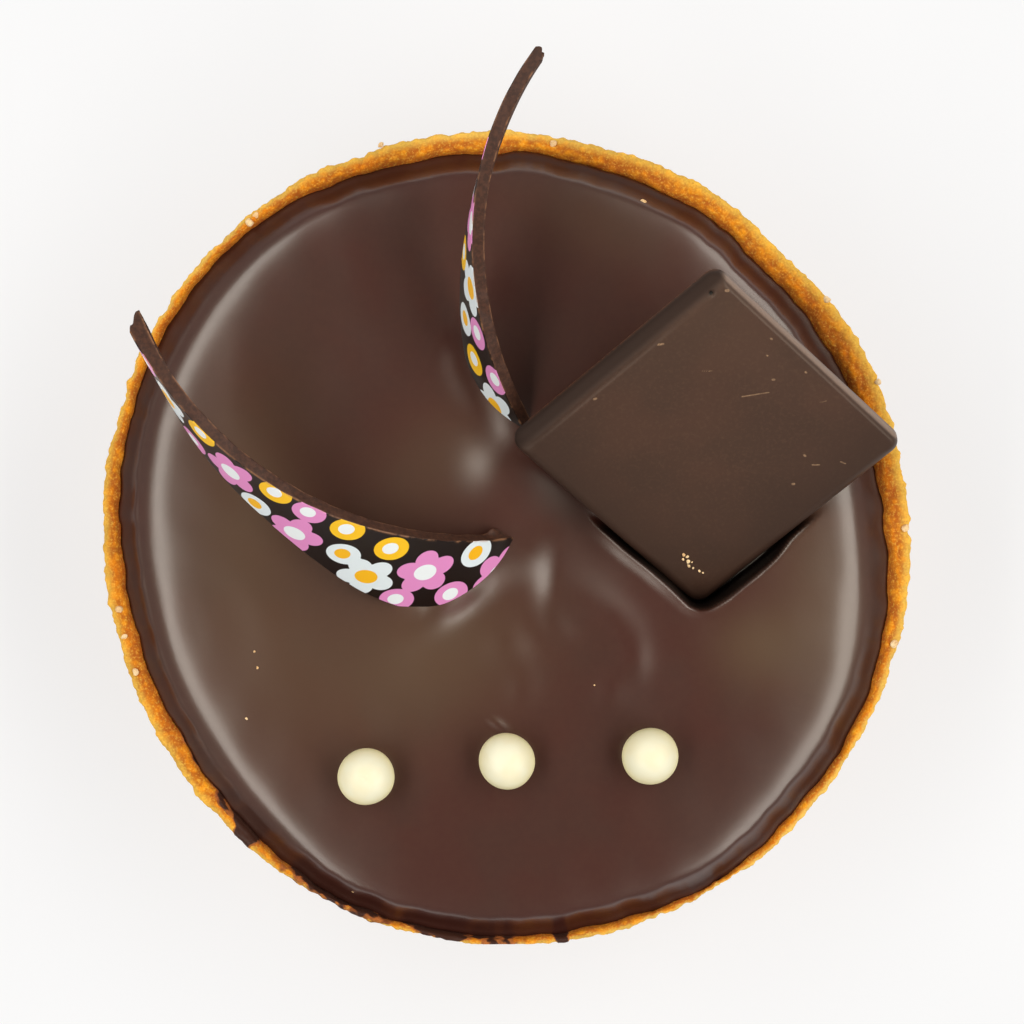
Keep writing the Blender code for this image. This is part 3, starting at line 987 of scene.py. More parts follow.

# %% [markdown]
# ## Dark glaze
#
# The glaze is cocoa, sugar and cream: nearly black in the bowl, warm brown in a thin film, and
# glossy without being a mirror. Its colour drifts a little between browns. Greyer patches are
# a painted sheen, darker patches beside the plaque and along the rim are painted shade, and a
# very fine ripple keeps the reflections soft.

# %% Finish of the glaze
def glaze_finish():
    """Two browns by slow noise, with painted sheen and shade from the marks, and a satin gloss."""
    mix = Finish("dark_glaze")
    place = mix.place()
    clouds = mix.noise(place, 9.0, 3.0)
    mottle = mix.noise(place, 0.7, 3.0, 0.6)
    fine = mix.noise(place, 0.22, 2.0, 0.6)
    base = mix.mix(clouds.between(0.38, 0.62), paint(64, 26, 19), paint(60, 27, 20))
    base = mix.mix(mottle.between(0.3, 0.75) * 0.30, base, paint(71, 38, 27))
    # Painted sheen: greyer brown where the glaze stands in for more reflection
    base = mix.mix(mix.mark("bloom") * 0.75, base, paint(88, 66, 46))
    # Painted shade: deeper brown beside the plaque and along the edge by the rim
    base = mix.mix(mix.mark("shade") * 0.9, base, paint(36, 10, 5))
    # The coat thins where the shade and the pit are painted, so they reflect less
    open_face = 1.0 - (mix.mark("pit") + mix.mark("shade") * 0.8).clamp()
    # Painted shade: nearly black in the pit under the plaque
    base = mix.mix(1.0 - mix.mark("pit").clamp(), paint(18, 8, 6), base)
    return mix.set(
        base_color=base,
        roughness=0.35 + clouds * 0.05,
        normal=mix.bump(mottle * 0.6 + fine * 0.4, 0.03, 0.30),
        specular_ior_level=0.60,
        specular_tint=(1.0, 0.93, 0.78, 1.0),
        coat_weight=(0.70 + mottle * 0.2) * open_face,
        coat_roughness=0.24,
    )


glaze.data.materials.append(glaze_finish())

# %% [markdown]
# ## The plaque
#
# The plaque is chocolate cast in a shallow mould: a square tile with soft edges, a fine skin
# and the small nicks that it gets in the box. A cube with a bevel would have straight, even
# edges. Here the tile is a grid of rings that shrink from the outline to the middle of each
# face, so the rings follow the edges, and the rounding and the crease along one side are
# functions of the distance from the edge.

# %% Shape of the plaque
PLAQUE_COLUMNS = 560
TOP_ROUND = 1.20            # the mould's soft upper edge
BACK_ROUND = 0.35
HOLE = (-12.2, 11.6)        # a pinhole left by a bubble, along the plaque's sides


def square_outline(steps, half, corner):
    """A square with rounded corners: a straight and a quarter circle, turned four times."""
    straight = 2.0 * (half - corner)
    side = straight + corner * TAU / 4
    place = np.linspace(0.0, 4.0 * side, steps, endpoint=False)
    number, rest = np.divmod(place, side)
    turn = number * TAU / 4
    bend = np.maximum(rest - straight, 0.0) / corner
    x = np.where(rest < straight, half, half - corner + corner * np.cos(bend))
    y = np.where(rest < straight, rest - straight / 2, straight / 2 + corner * np.sin(bend))
    return x * np.cos(turn) - y * np.sin(turn), x * np.sin(turn) + y * np.cos(turn)


def plaque_profile():
    """Inset from the outline and level above the top face, from the back to the front.

    Both edges are quarter circles. front is true for the rows of the mould's side and face.
    """
    shares = np.linspace(0.03, 0.96, 16)
    back = [(HALF_PLAQUE * (1.0 - share), -PLAQUE_THICKNESS) for share in shares]
    for turn in np.linspace(0.1, 1.0, 7) * TAU / 4:
        level = BACK_ROUND * (1.0 - math.cos(turn)) - PLAQUE_THICKNESS
        back.append((BACK_ROUND * (1.0 - math.sin(turn)), level))
    front = [
        (TOP_ROUND * (1.0 - math.cos(turn)), TOP_ROUND * (math.sin(turn) - 1.0))
        for turn in np.linspace(0.0, 1.0, 18) * TAU / 4
    ]
    front += [(distance, 0.0) for distance in np.linspace(TOP_ROUND + 0.06, 4.5, 44)]
    front += [(HALF_PLAQUE * (1.0 - share), 0.0) for share in np.linspace(0.655, 0.01, 62)]
    profile = np.array(back + front)
    return profile[:, 0], profile[:, 1], np.arange(len(profile)) >= len(back)


def plaque_grid():
    """Each row is the outline drawn in by its inset.

    The rounded edge is wider along one side and narrower along the next.
    """
    inset, level, front = plaque_profile()
    along, aside = square_outline(PLAQUE_COLUMNS, HALF_PLAQUE, PLAQUE_CORNER)
    start = HALF_PLAQUE - 1.5
    wider = 0.80 * ease(-along, start, HALF_PLAQUE) - 0.60 * ease(aside, start, HALF_PLAQUE)
    inset = inset[:, None] * (1.0 + front[:, None] * wider * np.exp(-(inset[:, None] / 3.0) ** 2))
    scale = 1.0 - inset / HALF_PLAQUE
    x, y = along * scale, aside * scale
    return x, y, level[:, None] + 0.0 * x, inset, np.broadcast_to(front[:, None], x.shape)


FAR = 3.0                   # a distance that counts as far away
# Scuffs on its face: from x, y to x, y, half width
SCUFFS = (
    (-6.6, 5.3, -5.9, 6.0, 0.05),
    (-1.8, 6.1, -0.3, 8.3, 0.06),
    (-11.7, 4.3, -11.4, 4.7, 0.12),
    (-11.6, -4.2, -11.5, -4.0, 0.12),
    (-4.6, 12.4, -4.5, 12.4, 0.11),
    (0.5, 12.3, 0.6, 12.3, 0.10),
    (-1.1, 9.5, -1.0, 9.6, 0.12),
    (-3.5, 10.9, -3.4, 10.9, 0.08),
    (7.4, 6.0, 7.6, 6.0, 0.10),
    (8.8, 5.8, 9.3, 6.3, 0.07),
    (9.1, 3.0, 9.2, 3.1, 0.12),
    (-11.5, 12.9, -11.4, 13.0, 0.16),
    (4.0, 11.0, 4.3, 11.6, 0.05),
    (10.5, 8.0, 11.0, 8.2, 0.06),
)


def scuffed(x, y):
    """Distance to the nearest scuff's edge, less than 0 inside it, and at most FAR."""
    nearest = np.full(x.shape, FAR)
    for start_x, start_y, end_x, end_y, half_width in SCUFFS:
        way_x, way_y = end_x - start_x, end_y - start_y
        share = ((x - start_x) * way_x + (y - start_y) * way_y) / (way_x ** 2 + way_y ** 2)
        share = np.clip(share, 0.0, 1.0)
        gap = np.hypot(x - start_x - share * way_x, y - start_y - share * way_y)
        nearest = np.minimum(nearest, gap - half_width)
    return nearest


# The crease along one side, in cross-section: distance from the side, half width, height
CREASE = ((1.05, 0.32, 0.05), (1.50, 0.13, -0.09), (1.85, 0.35, 0.04))


def from_hole(x, y):
    """Distance from the middle of the pinhole."""
    return np.hypot(x - HOLE[0], y - HOLE[1])


def plaque_details(x, y, z, inset, front):
    """On the front: a slow wave, the crease, the scuffs and the pinhole with its raised rim."""
    flat = np.stack([x, y], axis=-1)
    wave = 0.025 * drift(flat, 9.0, 31) * ease(inset, 0.3, 2.0)
    from_side = HALF_PLAQUE + x + 0.05 * drift(flat[..., 1:], 6.0, 32)
    crease = sum(high * np.exp(-((from_side - at) / wide) ** 2) for at, wide, high in CREASE)
    crease = crease * np.exp(-((y + 2.0) / 9.5) ** 4) * ease(inset, 0.4, 0.9)
    scuff = 0.03 * np.minimum(scuffed(x, y) / 0.15, 0.0)
    away = from_hole(x, y)
    hole = 0.04 * np.exp(-((away - 0.42) / 0.12) ** 2) - 0.45 * np.exp(-(away / 0.26) ** 4)
    return z + np.where(front, wave + crease + scuff + hole, 0.0)


plaque_x, plaque_y, plaque_z, plaque_inset, plaque_front = plaque_grid()
plaque_z = plaque_details(plaque_x, plaque_y, plaque_z, plaque_inset, plaque_front)
plaque_flat = np.stack([plaque_x, plaque_y, plaque_z], axis=-1)
# A ragged burr runs along the back edge of one side. The plaque's sides are 13.55 from its
# middle, and the marks fade in and out at distances from there.
burr = np.exp(-((plaque_z + PLAQUE_THICKNESS - 0.05) / 0.22) ** 2) * ease(-plaque_x, 12.6, 13.3)
lower_right = np.exp(-((13.5 - plaque_x) / 6.0) ** 2)
lower_left = np.exp(-((13.5 + plaque_y) / 6.0) ** 2)
plaque_marks = {
    "scuff": np.where(plaque_front, scuffed(plaque_x, plaque_y), FAR),
    "burr": burr * (plaque_y > -11.0),
    "hole": from_hole(plaque_x, plaque_y),
    # Painted highlight: a pale line along the side face at the far end of y
    "worn_side": ease(plaque_y, 13.36, 13.50) * ease(plaque_z, -1.9, -1.2),
    # Painted shade: the wall of the side at the far end of -x
    "far_side": ease(-plaque_x, 11.9, 12.9),
    # Painted shade along the two sides that dip into the glaze
    "low_sides": lower_right + lower_left - 1.7 * lower_right * lower_left,
    # Painted light: lighter towards the raised corner
    "upper": ease(plaque_y - plaque_x, 4.0, 24.0),
}
plaque = skin("chocolate_plaque", plaque_flat @ PLAQUE_AXES + PLAQUE_CENTRE, plaque_marks)
serve(plaque, "plaque_chocolate", "plaque")

# %% [markdown]
# ## Chocolate that has been handled
#
# Cast chocolate has a satin skin. Cold and handling bring up a grey bloom, and each knock
# leaves a pale nick. Noise alone would scatter that wear anywhere, and a painted picture would
# blur from close by. So the mesh carries where each mark is, as a distance or a share, and the
# material only breaks up its edge with noise. The mesh also carries where shade and light are
# painted: darker low sides and far side, a lighter raised part and a pale highlight on one side.

# %% Finish of the plaque
def plaque_finish():
    """Satin chocolate, greyer than the glaze, with scuffs, bloom, painted shade and painted light."""
    mix = Finish("plaque_chocolate")
    place = mix.place()
    clouds = mix.noise(place, 7.0, 2.0)
    bloom = mix.noise(place, 0.35, 3.0, 0.65)
    base = mix.mix(clouds.between(0.35, 0.65), paint(73, 49, 38), paint(67, 46, 36))
    base = mix.mix(bloom.between(0.45, 0.75) * 0.35, base, paint(91, 65, 50))
    worn = 1.0 - mix.mark("scuff").between(-0.04, 0.04)
    # Painted shade at the low sides, painted light towards the raised upper part
    base = mix.mix(mix.mark("low_sides") * 0.70, base, paint(50, 33, 26))
    base = mix.mix(mix.mark("upper") * 0.30, base, paint(84, 62, 49))
    base = mix.mix(worn * (bloom * 1.1), base, paint(170, 136, 104))
    # Painted highlight: pale along that side face, broken up by the bloom noise
    base = mix.mix(mix.mark("worn_side") * (0.35 + bloom * 0.6), base, paint(150, 122, 102))
    # Painted shade: that side's wall nearly black, and rougher so it reflects less
    far_side = mix.mark("far_side")
    base = mix.mix(far_side * 0.85, base, paint(34, 16, 11))
    thread = mix.mark("burr") * bloom.between(0.30, 0.55)
    base = mix.mix(thread * 0.8, base, paint(176, 104, 58))
    # Painted shade: the pinhole is nearly black inside
    base = mix.mix(1.0 - mix.mark("hole").between(0.16, 0.26), base, paint(14, 9, 8))
    return mix.set(
        base_color=base,
        roughness=0.40 + bloom * 0.10 + far_side * 0.35,
        normal=mix.bump(bloom, 0.02, 0.3),
        specular_ior_level=0.42,
        specular_tint=(1.0, 0.93, 0.80, 1.0),
    )


plaque.data.materials.append(plaque_finish())

# %% [markdown]
# ## The printed curls
#
# A curl is a strip of chocolate spread on a printed sheet and wound round a tube while soft.
# Its shape is the tube's: the CAD model winds it the same way. The section is a thin bar with
# softened edges, carried along the winding. The broken ends are a little ragged.

# %% Shape of a curl
CURL_ROWS = 420
FACE_STEPS = 84
EDGE_STEPS = 14
BAR_CORNER = 0.16           # rounding of the bar's corners
END_ROUND = 0.3             # rounding of its two ends, along the strip


def bar_section(width, thickness, corner):
    """A thin bar's outline: width positions and depths, most of them on the printed face.

    Four flats, and a quarter circle at each corner.
    """
    face = np.linspace(corner, width - corner, FACE_STEPS)
    bend = np.linspace(0.0, 1.0, 5)[1:-1] * TAU / 4
    flat = np.linspace(corner, thickness - corner, EDGE_STEPS)
    back = np.linspace(width - corner, corner, FACE_STEPS // 3)
    near, far = corner, width - corner
    deep = thickness - corner
    widths = [face, far + corner * np.sin(bend), np.full(EDGE_STEPS, width)]
    depths = [0.0 * face, corner - corner * np.cos(bend), flat]
    widths += [far + corner * np.cos(bend), back, near - corner * np.sin(bend)]
    depths += [deep + corner * np.sin(bend), 0.0 * back + thickness, deep + corner * np.cos(bend)]
    widths += [np.zeros(EDGE_STEPS), near - corner * np.cos(bend)]
    depths += [flat[::-1], corner - corner * np.sin(bend)]
    return np.concatenate(widths), np.concatenate(depths)


def near_angle(angles, middle, half_width):
    """1 at an angle round the tube and fading away from it; the half width is in degrees."""
    return np.exp(-((angles - middle) / math.radians(half_width)) ** 2)


def curl_grid(curl, seed):
    """The bar carried round the tube: angle, width and depth of each point.

    The ends are rounded by a shrinking section, and shrink is 0 on the strip and goes to 1
    at each end. The tip is cut aslant and ragged, the long edges are chipped, and a shard
    stands up at the root.
    """
    tip, root = curl["tip"], curl["root"]
    widths, depths = bar_section(curl["width"], CURL_THICKNESS, BAR_CORNER)
    shares = widths / curl["width"]
    cap = END_ROUND / curl["radius"]
    ends = np.sin(np.linspace(0.0, 1.0, 6)[1:-1] * TAU / 4)
    body = np.linspace(tip - cap, root + cap, CURL_ROWS)
    rows = np.concatenate([tip - cap * ends, body, root + cap * ends[::-1]])
    shrink = np.concatenate([1.0 - ends, np.zeros(CURL_ROWS), 1.0 - ends[::-1]])[:, None]
    angles = np.repeat(rows[:, None], len(widths), axis=1)
    middle = CURL_THICKNESS / 2
    thicker = 1.0 + curl["blunt"] * near_angle(angles, tip, 11.0)
    deep = middle + (depths - middle) * (1.0 - 0.5 * shrink) * thicker
    ragged = 0.006 * drift(np.stack([deep, widths + 0.0 * deep], axis=-1), 0.9, seed + 7)
    slant = curl["skew"] * (1.0 - deep / CURL_THICKNESS)
    angles = angles - near_angle(angles, tip, 8.0) * (slant + ragged)
    torn = math.radians(0.9) * np.minimum(widths, 4.0) - ragged
    angles = angles + near_angle(angles, root, 8.0) * torn
    wide = strip_width(curl, rows)[:, None] * (0.5 + (shares - 0.5) * (1.0 - 0.06 * shrink))
    chips = 0.05 * drift(np.stack([angles * 24.0, deep], axis=-1), 2.2, seed)
    wide = wide + chips * ((1.0 - shares) ** 8 - shares ** 8)
    broken = near_angle(angles, root + math.radians(5.0), 2.6)
    shard = broken * (deep / CURL_THICKNESS) ** 2 * (1.0 - shares) ** 12
    return angles, wide - curl["shard"] * shard, deep, depths, shrink


# %% [markdown]
# The print is cocoa butter: five-petalled daisies and ringed dots on dark chocolate. Drawn
# into the mesh as colours it would show the grid, so the mesh carries distances instead: how
# far each point is from the nearest edge of each colour, less than zero inside it. The shader
# turns the distance into a sharp edge between grid points.

# %% The print
PRINT_COLOURS = (
    ("pink", (232, 146, 204)),
    ("white", (232, 242, 246)),
    ("yellow", (255, 200, 30)),
    ("pale_heart", (244, 250, 252)),
    ("gold_heart", (255, 190, 30)),
)
# Motifs: distance from the tip along the strip and from its upper edge, kind, colour, turn
SIDE_PRINT = (
    (5.0, 1.4, "dot", "pink", 0), (9.2, 3.4, "daisy", "white", 20), (13.6, 0.9, "dot", "yellow", 0),
    (14.0, 5.4, "dot", "pink", 0), (18.4, 3.1, "daisy", "pink", 8), (22.8, 0.8, "dot", "yellow", 0),
    (22.6, 5.2, "dot", "white", 0), (26.7, 1.0, "dot", "pink", 0), (27.4, 5.4, "daisy", "pink", 50),
    (31.0, 1.1, "dot", "yellow", 0), (32.6, 4.7, "dot", "white", 0), (36.3, 1.9, "dot", "yellow", 0),
    (36.2, 6.6, "daisy", "white", 5), (41.3, 4.0, "daisy", "pink", 30), (40.6, 8.3, "dot", "pink", 0),
    (45.9, 1.3, "dot", "white", 0), (45.6, 6.2, "dot", "pink", 0), (50.0, 3.7, "daisy", "pink", 65),
    (54.0, 6.8, "dot", "white", 0), (54.6, 1.4, "dot", "yellow", 0), (59.0, 4.0, "daisy", "white", 10),
)
BACK_PRINT = (
    (11.0, 1.2, "dot", "pink", 0), (15.0, 3.8, "dot", "white", 0), (18.6, 1.0, "daisy", "pink", 12),
    (22.4, 4.6, "dot", "yellow", 0), (25.2, 1.6, "daisy", "white", 0), (29.2, 5.0, "dot", "white", 0),
    (30.0, 1.9, "dot", "pink", 0), (33.4, 4.6, "dot", "yellow", 0), (35.0, 1.0, "dot", "pink", 0),
    (38.6, 3.5, "daisy", "white", 40), (43.4, 1.2, "dot", "pink", 0), (44.0, 5.0, "daisy", "white", 15),
    (48.0, 2.2, "dot", "yellow", 0),
)
DAISY_SIZE = 2.9
DOT_SIZE = 1.72
OFF_PRINT = 5.0             # a distance that counts as away from the print


def petal_distance(x, y, size, turn):
    """Distance to five round petals set round the middle, less than 0 inside them."""
    angle = np.arctan2(y, x) - math.radians(turn)
    sector = TAU / 5
    folded = np.mod(angle + sector / 2, sector) - sector / 2
    radius = np.hypot(x, y)
    along, aside = radius * np.cos(folded), radius * np.sin(folded)
    return np.hypot((along - 0.57 * size) * 0.95, aside * 1.05) - 0.41 * size


def print_marks(along, across, motifs):
    """Distance to each colour of the print, less than 0 inside it, and at most OFF_PRINT."""
    marks = {name: np.full(along.shape, OFF_PRINT) for name, _ in PRINT_COLOURS}
    for x, y, kind, colour, turn in motifs:
        dx, dy = along - x, across - y
        if kind == "daisy":
            shape = petal_distance(dx, dy, DAISY_SIZE, turn)
            heart = np.hypot(dx * 0.92, dy) - 0.36 * DAISY_SIZE
        else:
            shape = np.hypot(dx, dy * 1.08) - DOT_SIZE
            heart = np.hypot(dx + 0.12, dy) - 0.46 * DOT_SIZE
        marks[colour] = np.minimum(marks[colour], shape)
        middle = "gold_heart" if colour == "white" else "pale_heart"
        marks[middle] = np.minimum(marks[middle], heart)
    return marks


def make_curl(name, curl, motifs, seed):
    """The strip as a closed grid, with its print as marks.

    The print runs along the strip, which climbs by rise for each radius of arc.
    """
    angles, widths, deep, depths, shrink = curl_grid(curl, seed)
    grid = kept_inside(strip_points(curl, angles, widths, deep))
    slant = math.atan2(curl["rise"], curl["radius"])
    pitch = math.hypot(curl["radius"], curl["rise"])
    along = (curl["tip"] - angles) * pitch + widths * math.sin(slant)
    marks = print_marks(along, widths * math.cos(slant), motifs)
    marks["printed"] = (1.0 - ease(depths, 0.02, 0.10)) * (1.0 - ease(shrink, 0.0, 0.3))
    corner = np.exp(-(depths / 0.10) ** 2) + np.exp(-((CURL_THICKNESS - depths) / 0.10) ** 2)
    marks["burr"] = corner * np.exp(-(widths / 0.18) ** 2)
    piece = skin(name + "_chocolate", grid, marks)
    serve(piece, "printed_chocolate", name)
    return piece


curl_pieces = [
    make_curl("curl_side", CURLS["curl_side"], SIDE_PRINT, 41),
    make_curl("curl_back", CURLS["curl_back"], BACK_PRINT, 42),
]

# %% [markdown]
# ## Print over dark chocolate
#
# The printed face is flat colour on nearly black chocolate, and the back and the broken edges
# are duller and browner. Two materials would meet along a row of faces. One material, mixed by
# a mark, can change within the bar's rounded corner, so the print ends where the sheet did.

# %% Finish of the curls
def curl_finish():
    """Dark chocolate under sharp-edged colours, each cut by its distance mark."""
    mix = Finish("printed_chocolate")
    place = mix.place()
    grain = mix.noise(place, 0.4, 3.0, 0.6)
    breaks = mix.noise(place, 1.3, 3.0, 0.6)
    cut = mix.mix(grain.between(0.35, 0.7), paint(58, 34, 23), paint(78, 47, 32))
    base = paint(26, 13, 9)
    soft = 0.03                 # a colour fades out over this distance on each side of its edge
    for mark, colour in PRINT_COLOURS:
        inside = 1.0 - mix.mark(mark).between(-soft, soft)
        base = mix.mix(inside, base, paint(*colour))
    base = mix.mix(mix.mark("printed").between(0.3, 0.7), cut, base)
    thread = mix.mark("burr") * breaks.between(0.42, 0.62)
    base = mix.mix(thread * 0.70, base, paint(168, 118, 82))
    return mix.set(
        base_color=base,
        roughness=0.34 + (1.0 - mix.mark("printed")) * 0.22,
        normal=mix.bump(grain, 0.02, 0.3),
        specular_ior_level=0.28,
    )


curl_material = curl_finish()
for piece in curl_pieces:
    piece.data.materials.append(curl_material)

# %% [markdown]
# ## The crisp pearls
#
# Each pearl is a puffed grain rolled in white chocolate, so it is nearly but not quite a ball.
# A ball with a slow swell pushed into it, and a faint dimple on top of one, reads as that.

# %% Shape of the pearls
# Number, depth of the dimple, how far it lies from the CAD model's ball
PEARLS = ((1, 0.10, (0.15, 0.12, 0.0)), (2, 0.0, (0.0, 0.14, 0.0)), (3, 0.0, (-0.05, 0.10, 0.0)))
COATING = 0.03              # added to the CAD model's radius


def unit_ball(rows, columns):
    """Points of a ball of radius 1: rows from bottom to top, columns round it, no poles."""
    lift = np.linspace(0.0, 1.0, rows + 2)[1:-1] * TAU / 2
    round_it = np.linspace(0.0, TAU, columns, endpoint=False)
    level = -np.cos(lift)[:, None] + 0.0 * round_it
    out = np.sin(lift)[:, None] + 0.0 * round_it
    return np.stack([out * np.cos(round_it), out * np.sin(round_it), level], axis=-1)


def make_pearl(number, dimple, shift):
    """A ball swollen by a slow drift; side is 0 at its top, 1 at its middle."""
    low, high = (np.array(corner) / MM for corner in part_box("pearl_%d" % number))
    middle = (low + high) / 2 + np.array(shift)
    radius = (high[2] - low[2]) / 2 + COATING
    ball = unit_ball(64, 128)
    x, y, level = np.moveaxis(ball, -1, 0)
    swell = radius * (0.975 + 0.022 * drift(ball, 1.9, 60 + number))
    pit = dimple * np.exp(-(((x + 0.05) / 0.10) ** 2 + (y / 0.06) ** 2))
    swell = swell - np.where(level > 0, pit, 0.0)
    return skin("cream_pearl_%d" % number, middle + ball * swell[..., None], {"side": 1.0 - level})


# %% [markdown]
# The coating is cream, a little yellower towards the sides of the ball. A tint that followed the
# view would slide as the tart is turned, so the mesh carries how far down the ball each point lies.

# %% Finish of the pearls
def pearl_finish():
    """Cream coating, yellower in slow patches and towards the sides."""
    mix = Finish("cream_coating")
    place = mix.place()
    clouds = mix.noise(place, 2.2, 2.0)
    fine = mix.noise(place, 0.3, 2.0)
    base = mix.mix(clouds.between(0.35, 0.7), paint(238, 234, 206), paint(238, 230, 196))
    base = mix.mix(mix.mark("side").between(0.15, 1.00) * 0.8, base, paint(250, 238, 176))
    return mix.set(
        base_color=base,
        roughness=0.36 + fine * 0.12,
        normal=mix.bump(fine, 0.01, 0.3),
        specular_ior_level=0.3,
    )


pearl_material = pearl_finish()
for number, dimple, shift in PEARLS:
    pearl = make_pearl(number, dimple, shift)
    serve(pearl, "pearl_coating", "pearl_%d" % number)
    pearl.data.materials.append(pearl_material)

# %% [markdown]
# ## Loose crumbs
#
# Cutting and carrying a tart leaves crumbs: a few grains of pastry on the rim and the glaze,
# and a little cluster on the plaque. Each is a small lump, a ball bent by a drift and pressed
# flat. They are all the same kind of thing, so they are one piece.

# %% Shape of the crumbs
# Where it lies, x, y there, and its size across; on the plaque x and y run along its sides
CRUMBS = (
    ("rim", -25.4, 31.0, 0.85), ("rim", -24.8, 31.7, 0.60), ("rim", 39.3, 0.8, 0.75),
    ("rim", 38.3, -10.6, 0.75), ("rim", -38.3, -7.2, 0.75), ("rim", -37.8, -9.9, 0.60),
    ("rim", -36.7, -13.4, 0.65), ("rim", 31.6, 23.4, 0.70), ("rim", 4.6, 38.8, 0.65),
    ("rim", -12.5, 38.6, 0.60), ("rim", 36.6, 15.2, 0.60),
    ("glaze", 13.4, 33.0, 0.55), ("glaze", -24.8, -11.3, 0.24), ("glaze", -24.5, -12.9, 0.26),
    ("glaze", -25.6, -17.9, 0.28), ("glaze", -15.2, -35.0, 0.24), ("glaze", 8.6, -14.6, 0.18),
    ("plaque", 7.7, -10.1, 0.34), ("plaque", 8.1, -10.0, 0.30), ("plaque", 8.0, -10.5, 0.24),
    ("plaque", 8.6, -10.3, 0.36), ("plaque", 9.0, -10.6, 0.30), ("plaque", 8.9, -10.1, 0.18),
    ("plaque", 9.5, -10.5, 0.22), ("plaque", 10.2, -10.3, 0.26), ("plaque", 10.6, -10.2, 0.18),
)


def glaze_surface(x, y):
    """Height of the finished glaze at a place, in millimetres."""
    x, y = np.atleast_1d(x), np.atleast_1d(y)
    angles = np.arctan2(y, x)
    steps = even_edge(angles) - np.hypot(x, y)
    return float(glaze_height(x, y, steps - side_shift(angles, steps))[0])


def crumb_place(where, x, y):
    """The crumb's middle in space: on the plaque's face, on the glaze or on the rim."""
    if where == "plaque":
        return PLAQUE_CENTRE + np.array([x, y, 0.05]) @ PLAQUE_AXES
    if where == "glaze":
        return np.array([x, y, glaze_surface(x, y) + 0.02])
    return np.array([x, y, smooth_round(RIM_TOP, np.array([math.atan2(y, x)]))[0] - 0.05])


def make_crumbs():
    """Every crumb as a flattened ball bent by a drift, all in one mesh."""
    ball = unit_ball(10, 16) * np.array([1.0, 1.0, 0.7])
    lumps = []
    for number, (where, x, y, size) in enumerate(CRUMBS):
        bent = ball * (1.0 + 0.22 * drift(ball + 5.0 * number, 1.3, 70))[..., None]
        lumps.append(crumb_place(where, x, y) + 0.5 * size * bent)
    return skin("loose_pastry_crumbs", kept_inside(np.array(lumps)))


# %% Finish of the crumbs
def crumb_finish():
    """Pale and golden crumb by noise."""
    mix = Finish("crumb_pastry")
    place = mix.place()
    shade = mix.noise(place, 1.1, 2.0)
    grain = mix.noise(place, 0.2, 3.0, 0.6)
    base = mix.mix(shade.between(0.35, 0.65), paint(246, 216, 168), paint(230, 188, 132))
    base = mix.mix(grain.between(0.45, 0.75) * 0.4, base, paint(176, 120, 72))
    return mix.set(
        base_color=base,
        roughness=0.65 + grain * 0.2,
        normal=mix.bump(grain, 0.06, 0.5),
        specular_ior_level=0.3,
    )


crumbs = make_crumbs()
crumbs.data.materials.append(crumb_finish())
serve(crumbs, "pastry")

# %% [markdown]
# ## Floor, light and camera
#
# The tart stands on a plain pale sheet under large soft lamps, as for a shop picture. The
# camera looks straight down from a good arm's length with a long lens.

# %% Floor
FLOOR_SIZE = 3.0            # metres
FLOOR_DROP = 0.02 * MM      # a hair below the tart's foot


def make_floor():
    """A large flat sheet under the tart, which glows a little so that it stays pale."""
    bpy.ops.mesh.primitive_plane_add(size=FLOOR_SIZE, location=(0.0, 0.0, -FLOOR_DROP))
    floor = bpy.context.active_object
    floor.name = "floor"
    mix = Finish("pale_sheet")
    cloud = mix.noise(mix.place(), 60.0, 1.0)
    tone = mix.mix(cloud.between(0.3, 0.7), paint(131, 132, 134), paint(135, 136, 138))
    floor.data.materials.append(
        mix.set(
            base_color=tone,
            roughness=0.9,
            specular_ior_level=0.0,
            emission_color=paint(255, 255, 255),
            emission_strength=0.665,
        )
    )


make_floor()

# %% [markdown]
# The glaze mirrors whatever is round it. Two long panels, one on each side, give the pale bands
# along its shoulder. The sky is dark overhead, so the flat middle of the glaze stays deep brown.

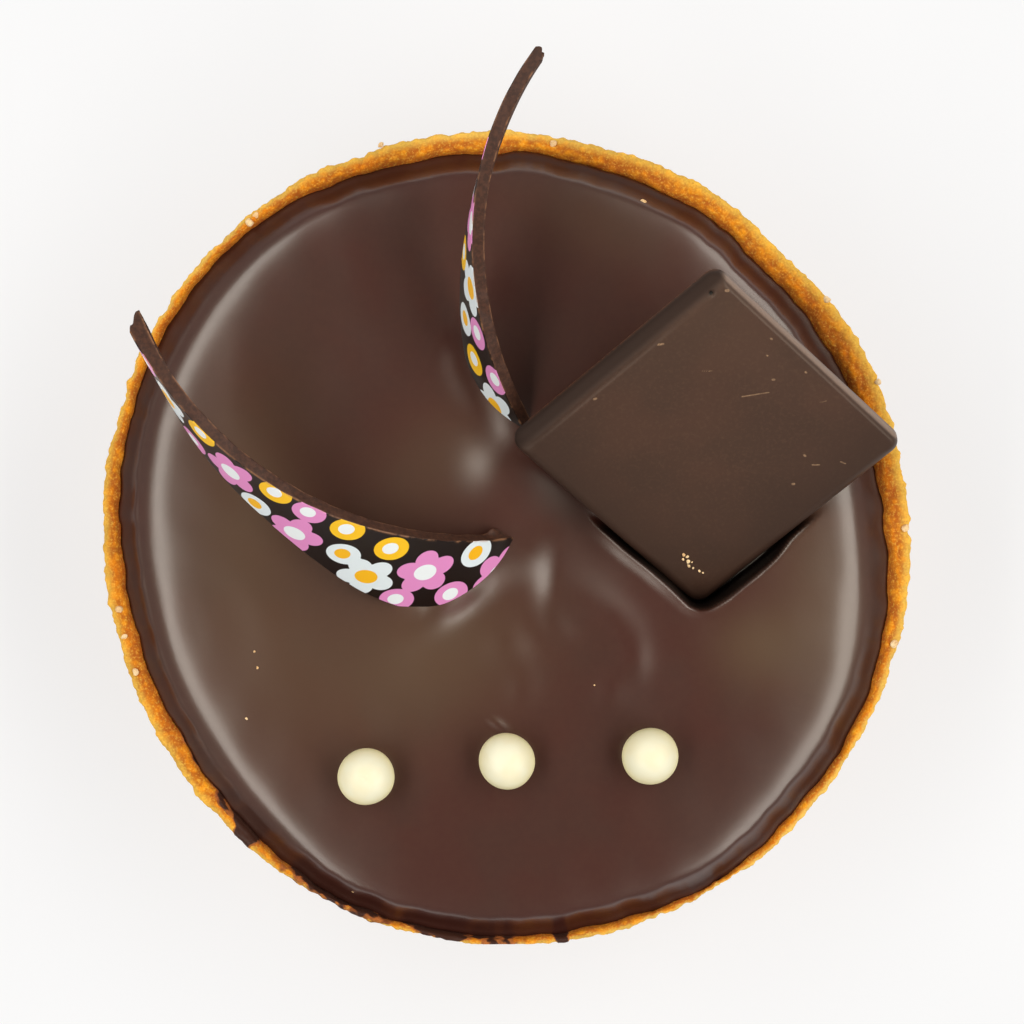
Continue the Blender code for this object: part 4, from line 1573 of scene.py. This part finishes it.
# %% Lamps and sky
# Panels: direction in degrees from +X, height above the floor in degrees, width, height, watts
PANELS = (
    (180.0, 53.0, 1.30, 0.24, 5.4),
    (0.0, 50.0, 1.30, 0.32, 6.2),
)
PANEL_DISTANCE = 0.75       # metres, as the panels' width and height are
PANEL_TINT = (1.0, 0.97, 0.92)
TART_MIDDLE = Vector((0.0, 0.0, 20.0 * MM))


def make_panel(number, heading, lift, width, height, power):
    """A rectangular lamp aimed at the tart."""
    lamp = bpy.data.lights.new("panel_%d" % number, "AREA")
    lamp.shape = "RECTANGLE"
    lamp.size = width
    lamp.size_y = height
    lamp.energy = power
    lamp.color = PANEL_TINT
    holder = bpy.data.objects.new("panel_%d" % number, lamp)
    turn, rise = math.radians(heading), math.radians(lift)
    flat = math.cos(rise)
    way = Vector((math.cos(turn) * flat, math.sin(turn) * flat, math.sin(rise)))
    holder.location = way * PANEL_DISTANCE + TART_MIDDLE
    holder.rotation_euler = way.to_track_quat("Z", "Y").to_euler()
    bpy.context.scene.collection.objects.link(holder)


for number, panel in enumerate(PANELS, start=1):
    make_panel(number, *panel)

# The sky by height: sine of the height above the horizon, brightness
SKY = ((0.0, 0.30), (0.55, 0.22), (0.80, 0.14), (0.94, 0.05), (1.0, 0.03))


def make_sky():
    """A grey sky, bright at its sides and dark overhead, as in a light tent."""
    sky = bpy.data.worlds.new("studio")
    sky.use_nodes = True
    recipe = Recipe(sky.node_tree)
    place = recipe.node("TexCoord", {}, {}, "Generated")
    height = recipe.node("SeparateXYZ", {}, {0: place}, "Z")
    stops = [(level, (tone, tone, tone, 1.0)) for level, tone in SKY]
    tone = recipe.node("ValToRGB", {"stops": stops}, {0: height})
    recipe.put(recipe.tree.nodes["Background"].inputs["Color"], tone)
    bpy.context.scene.world = sky


make_sky()
bpy.context.scene.view_settings.view_transform = "Standard"

# %% Camera
CAMERA_PLACE = (0.0005, 0.0024, 0.420)
LENS, SENSOR = 142.4, 36.0          # millimetres
eye = bpy.data.cameras.new("overhead")
eye.lens = LENS
eye.sensor_width = SENSOR
eye.clip_start = 0.01
overhead = bpy.data.objects.new("overhead", eye)
overhead.location = CAMERA_PLACE
bpy.context.scene.collection.objects.link(overhead)
bpy.context.scene.camera = overhead
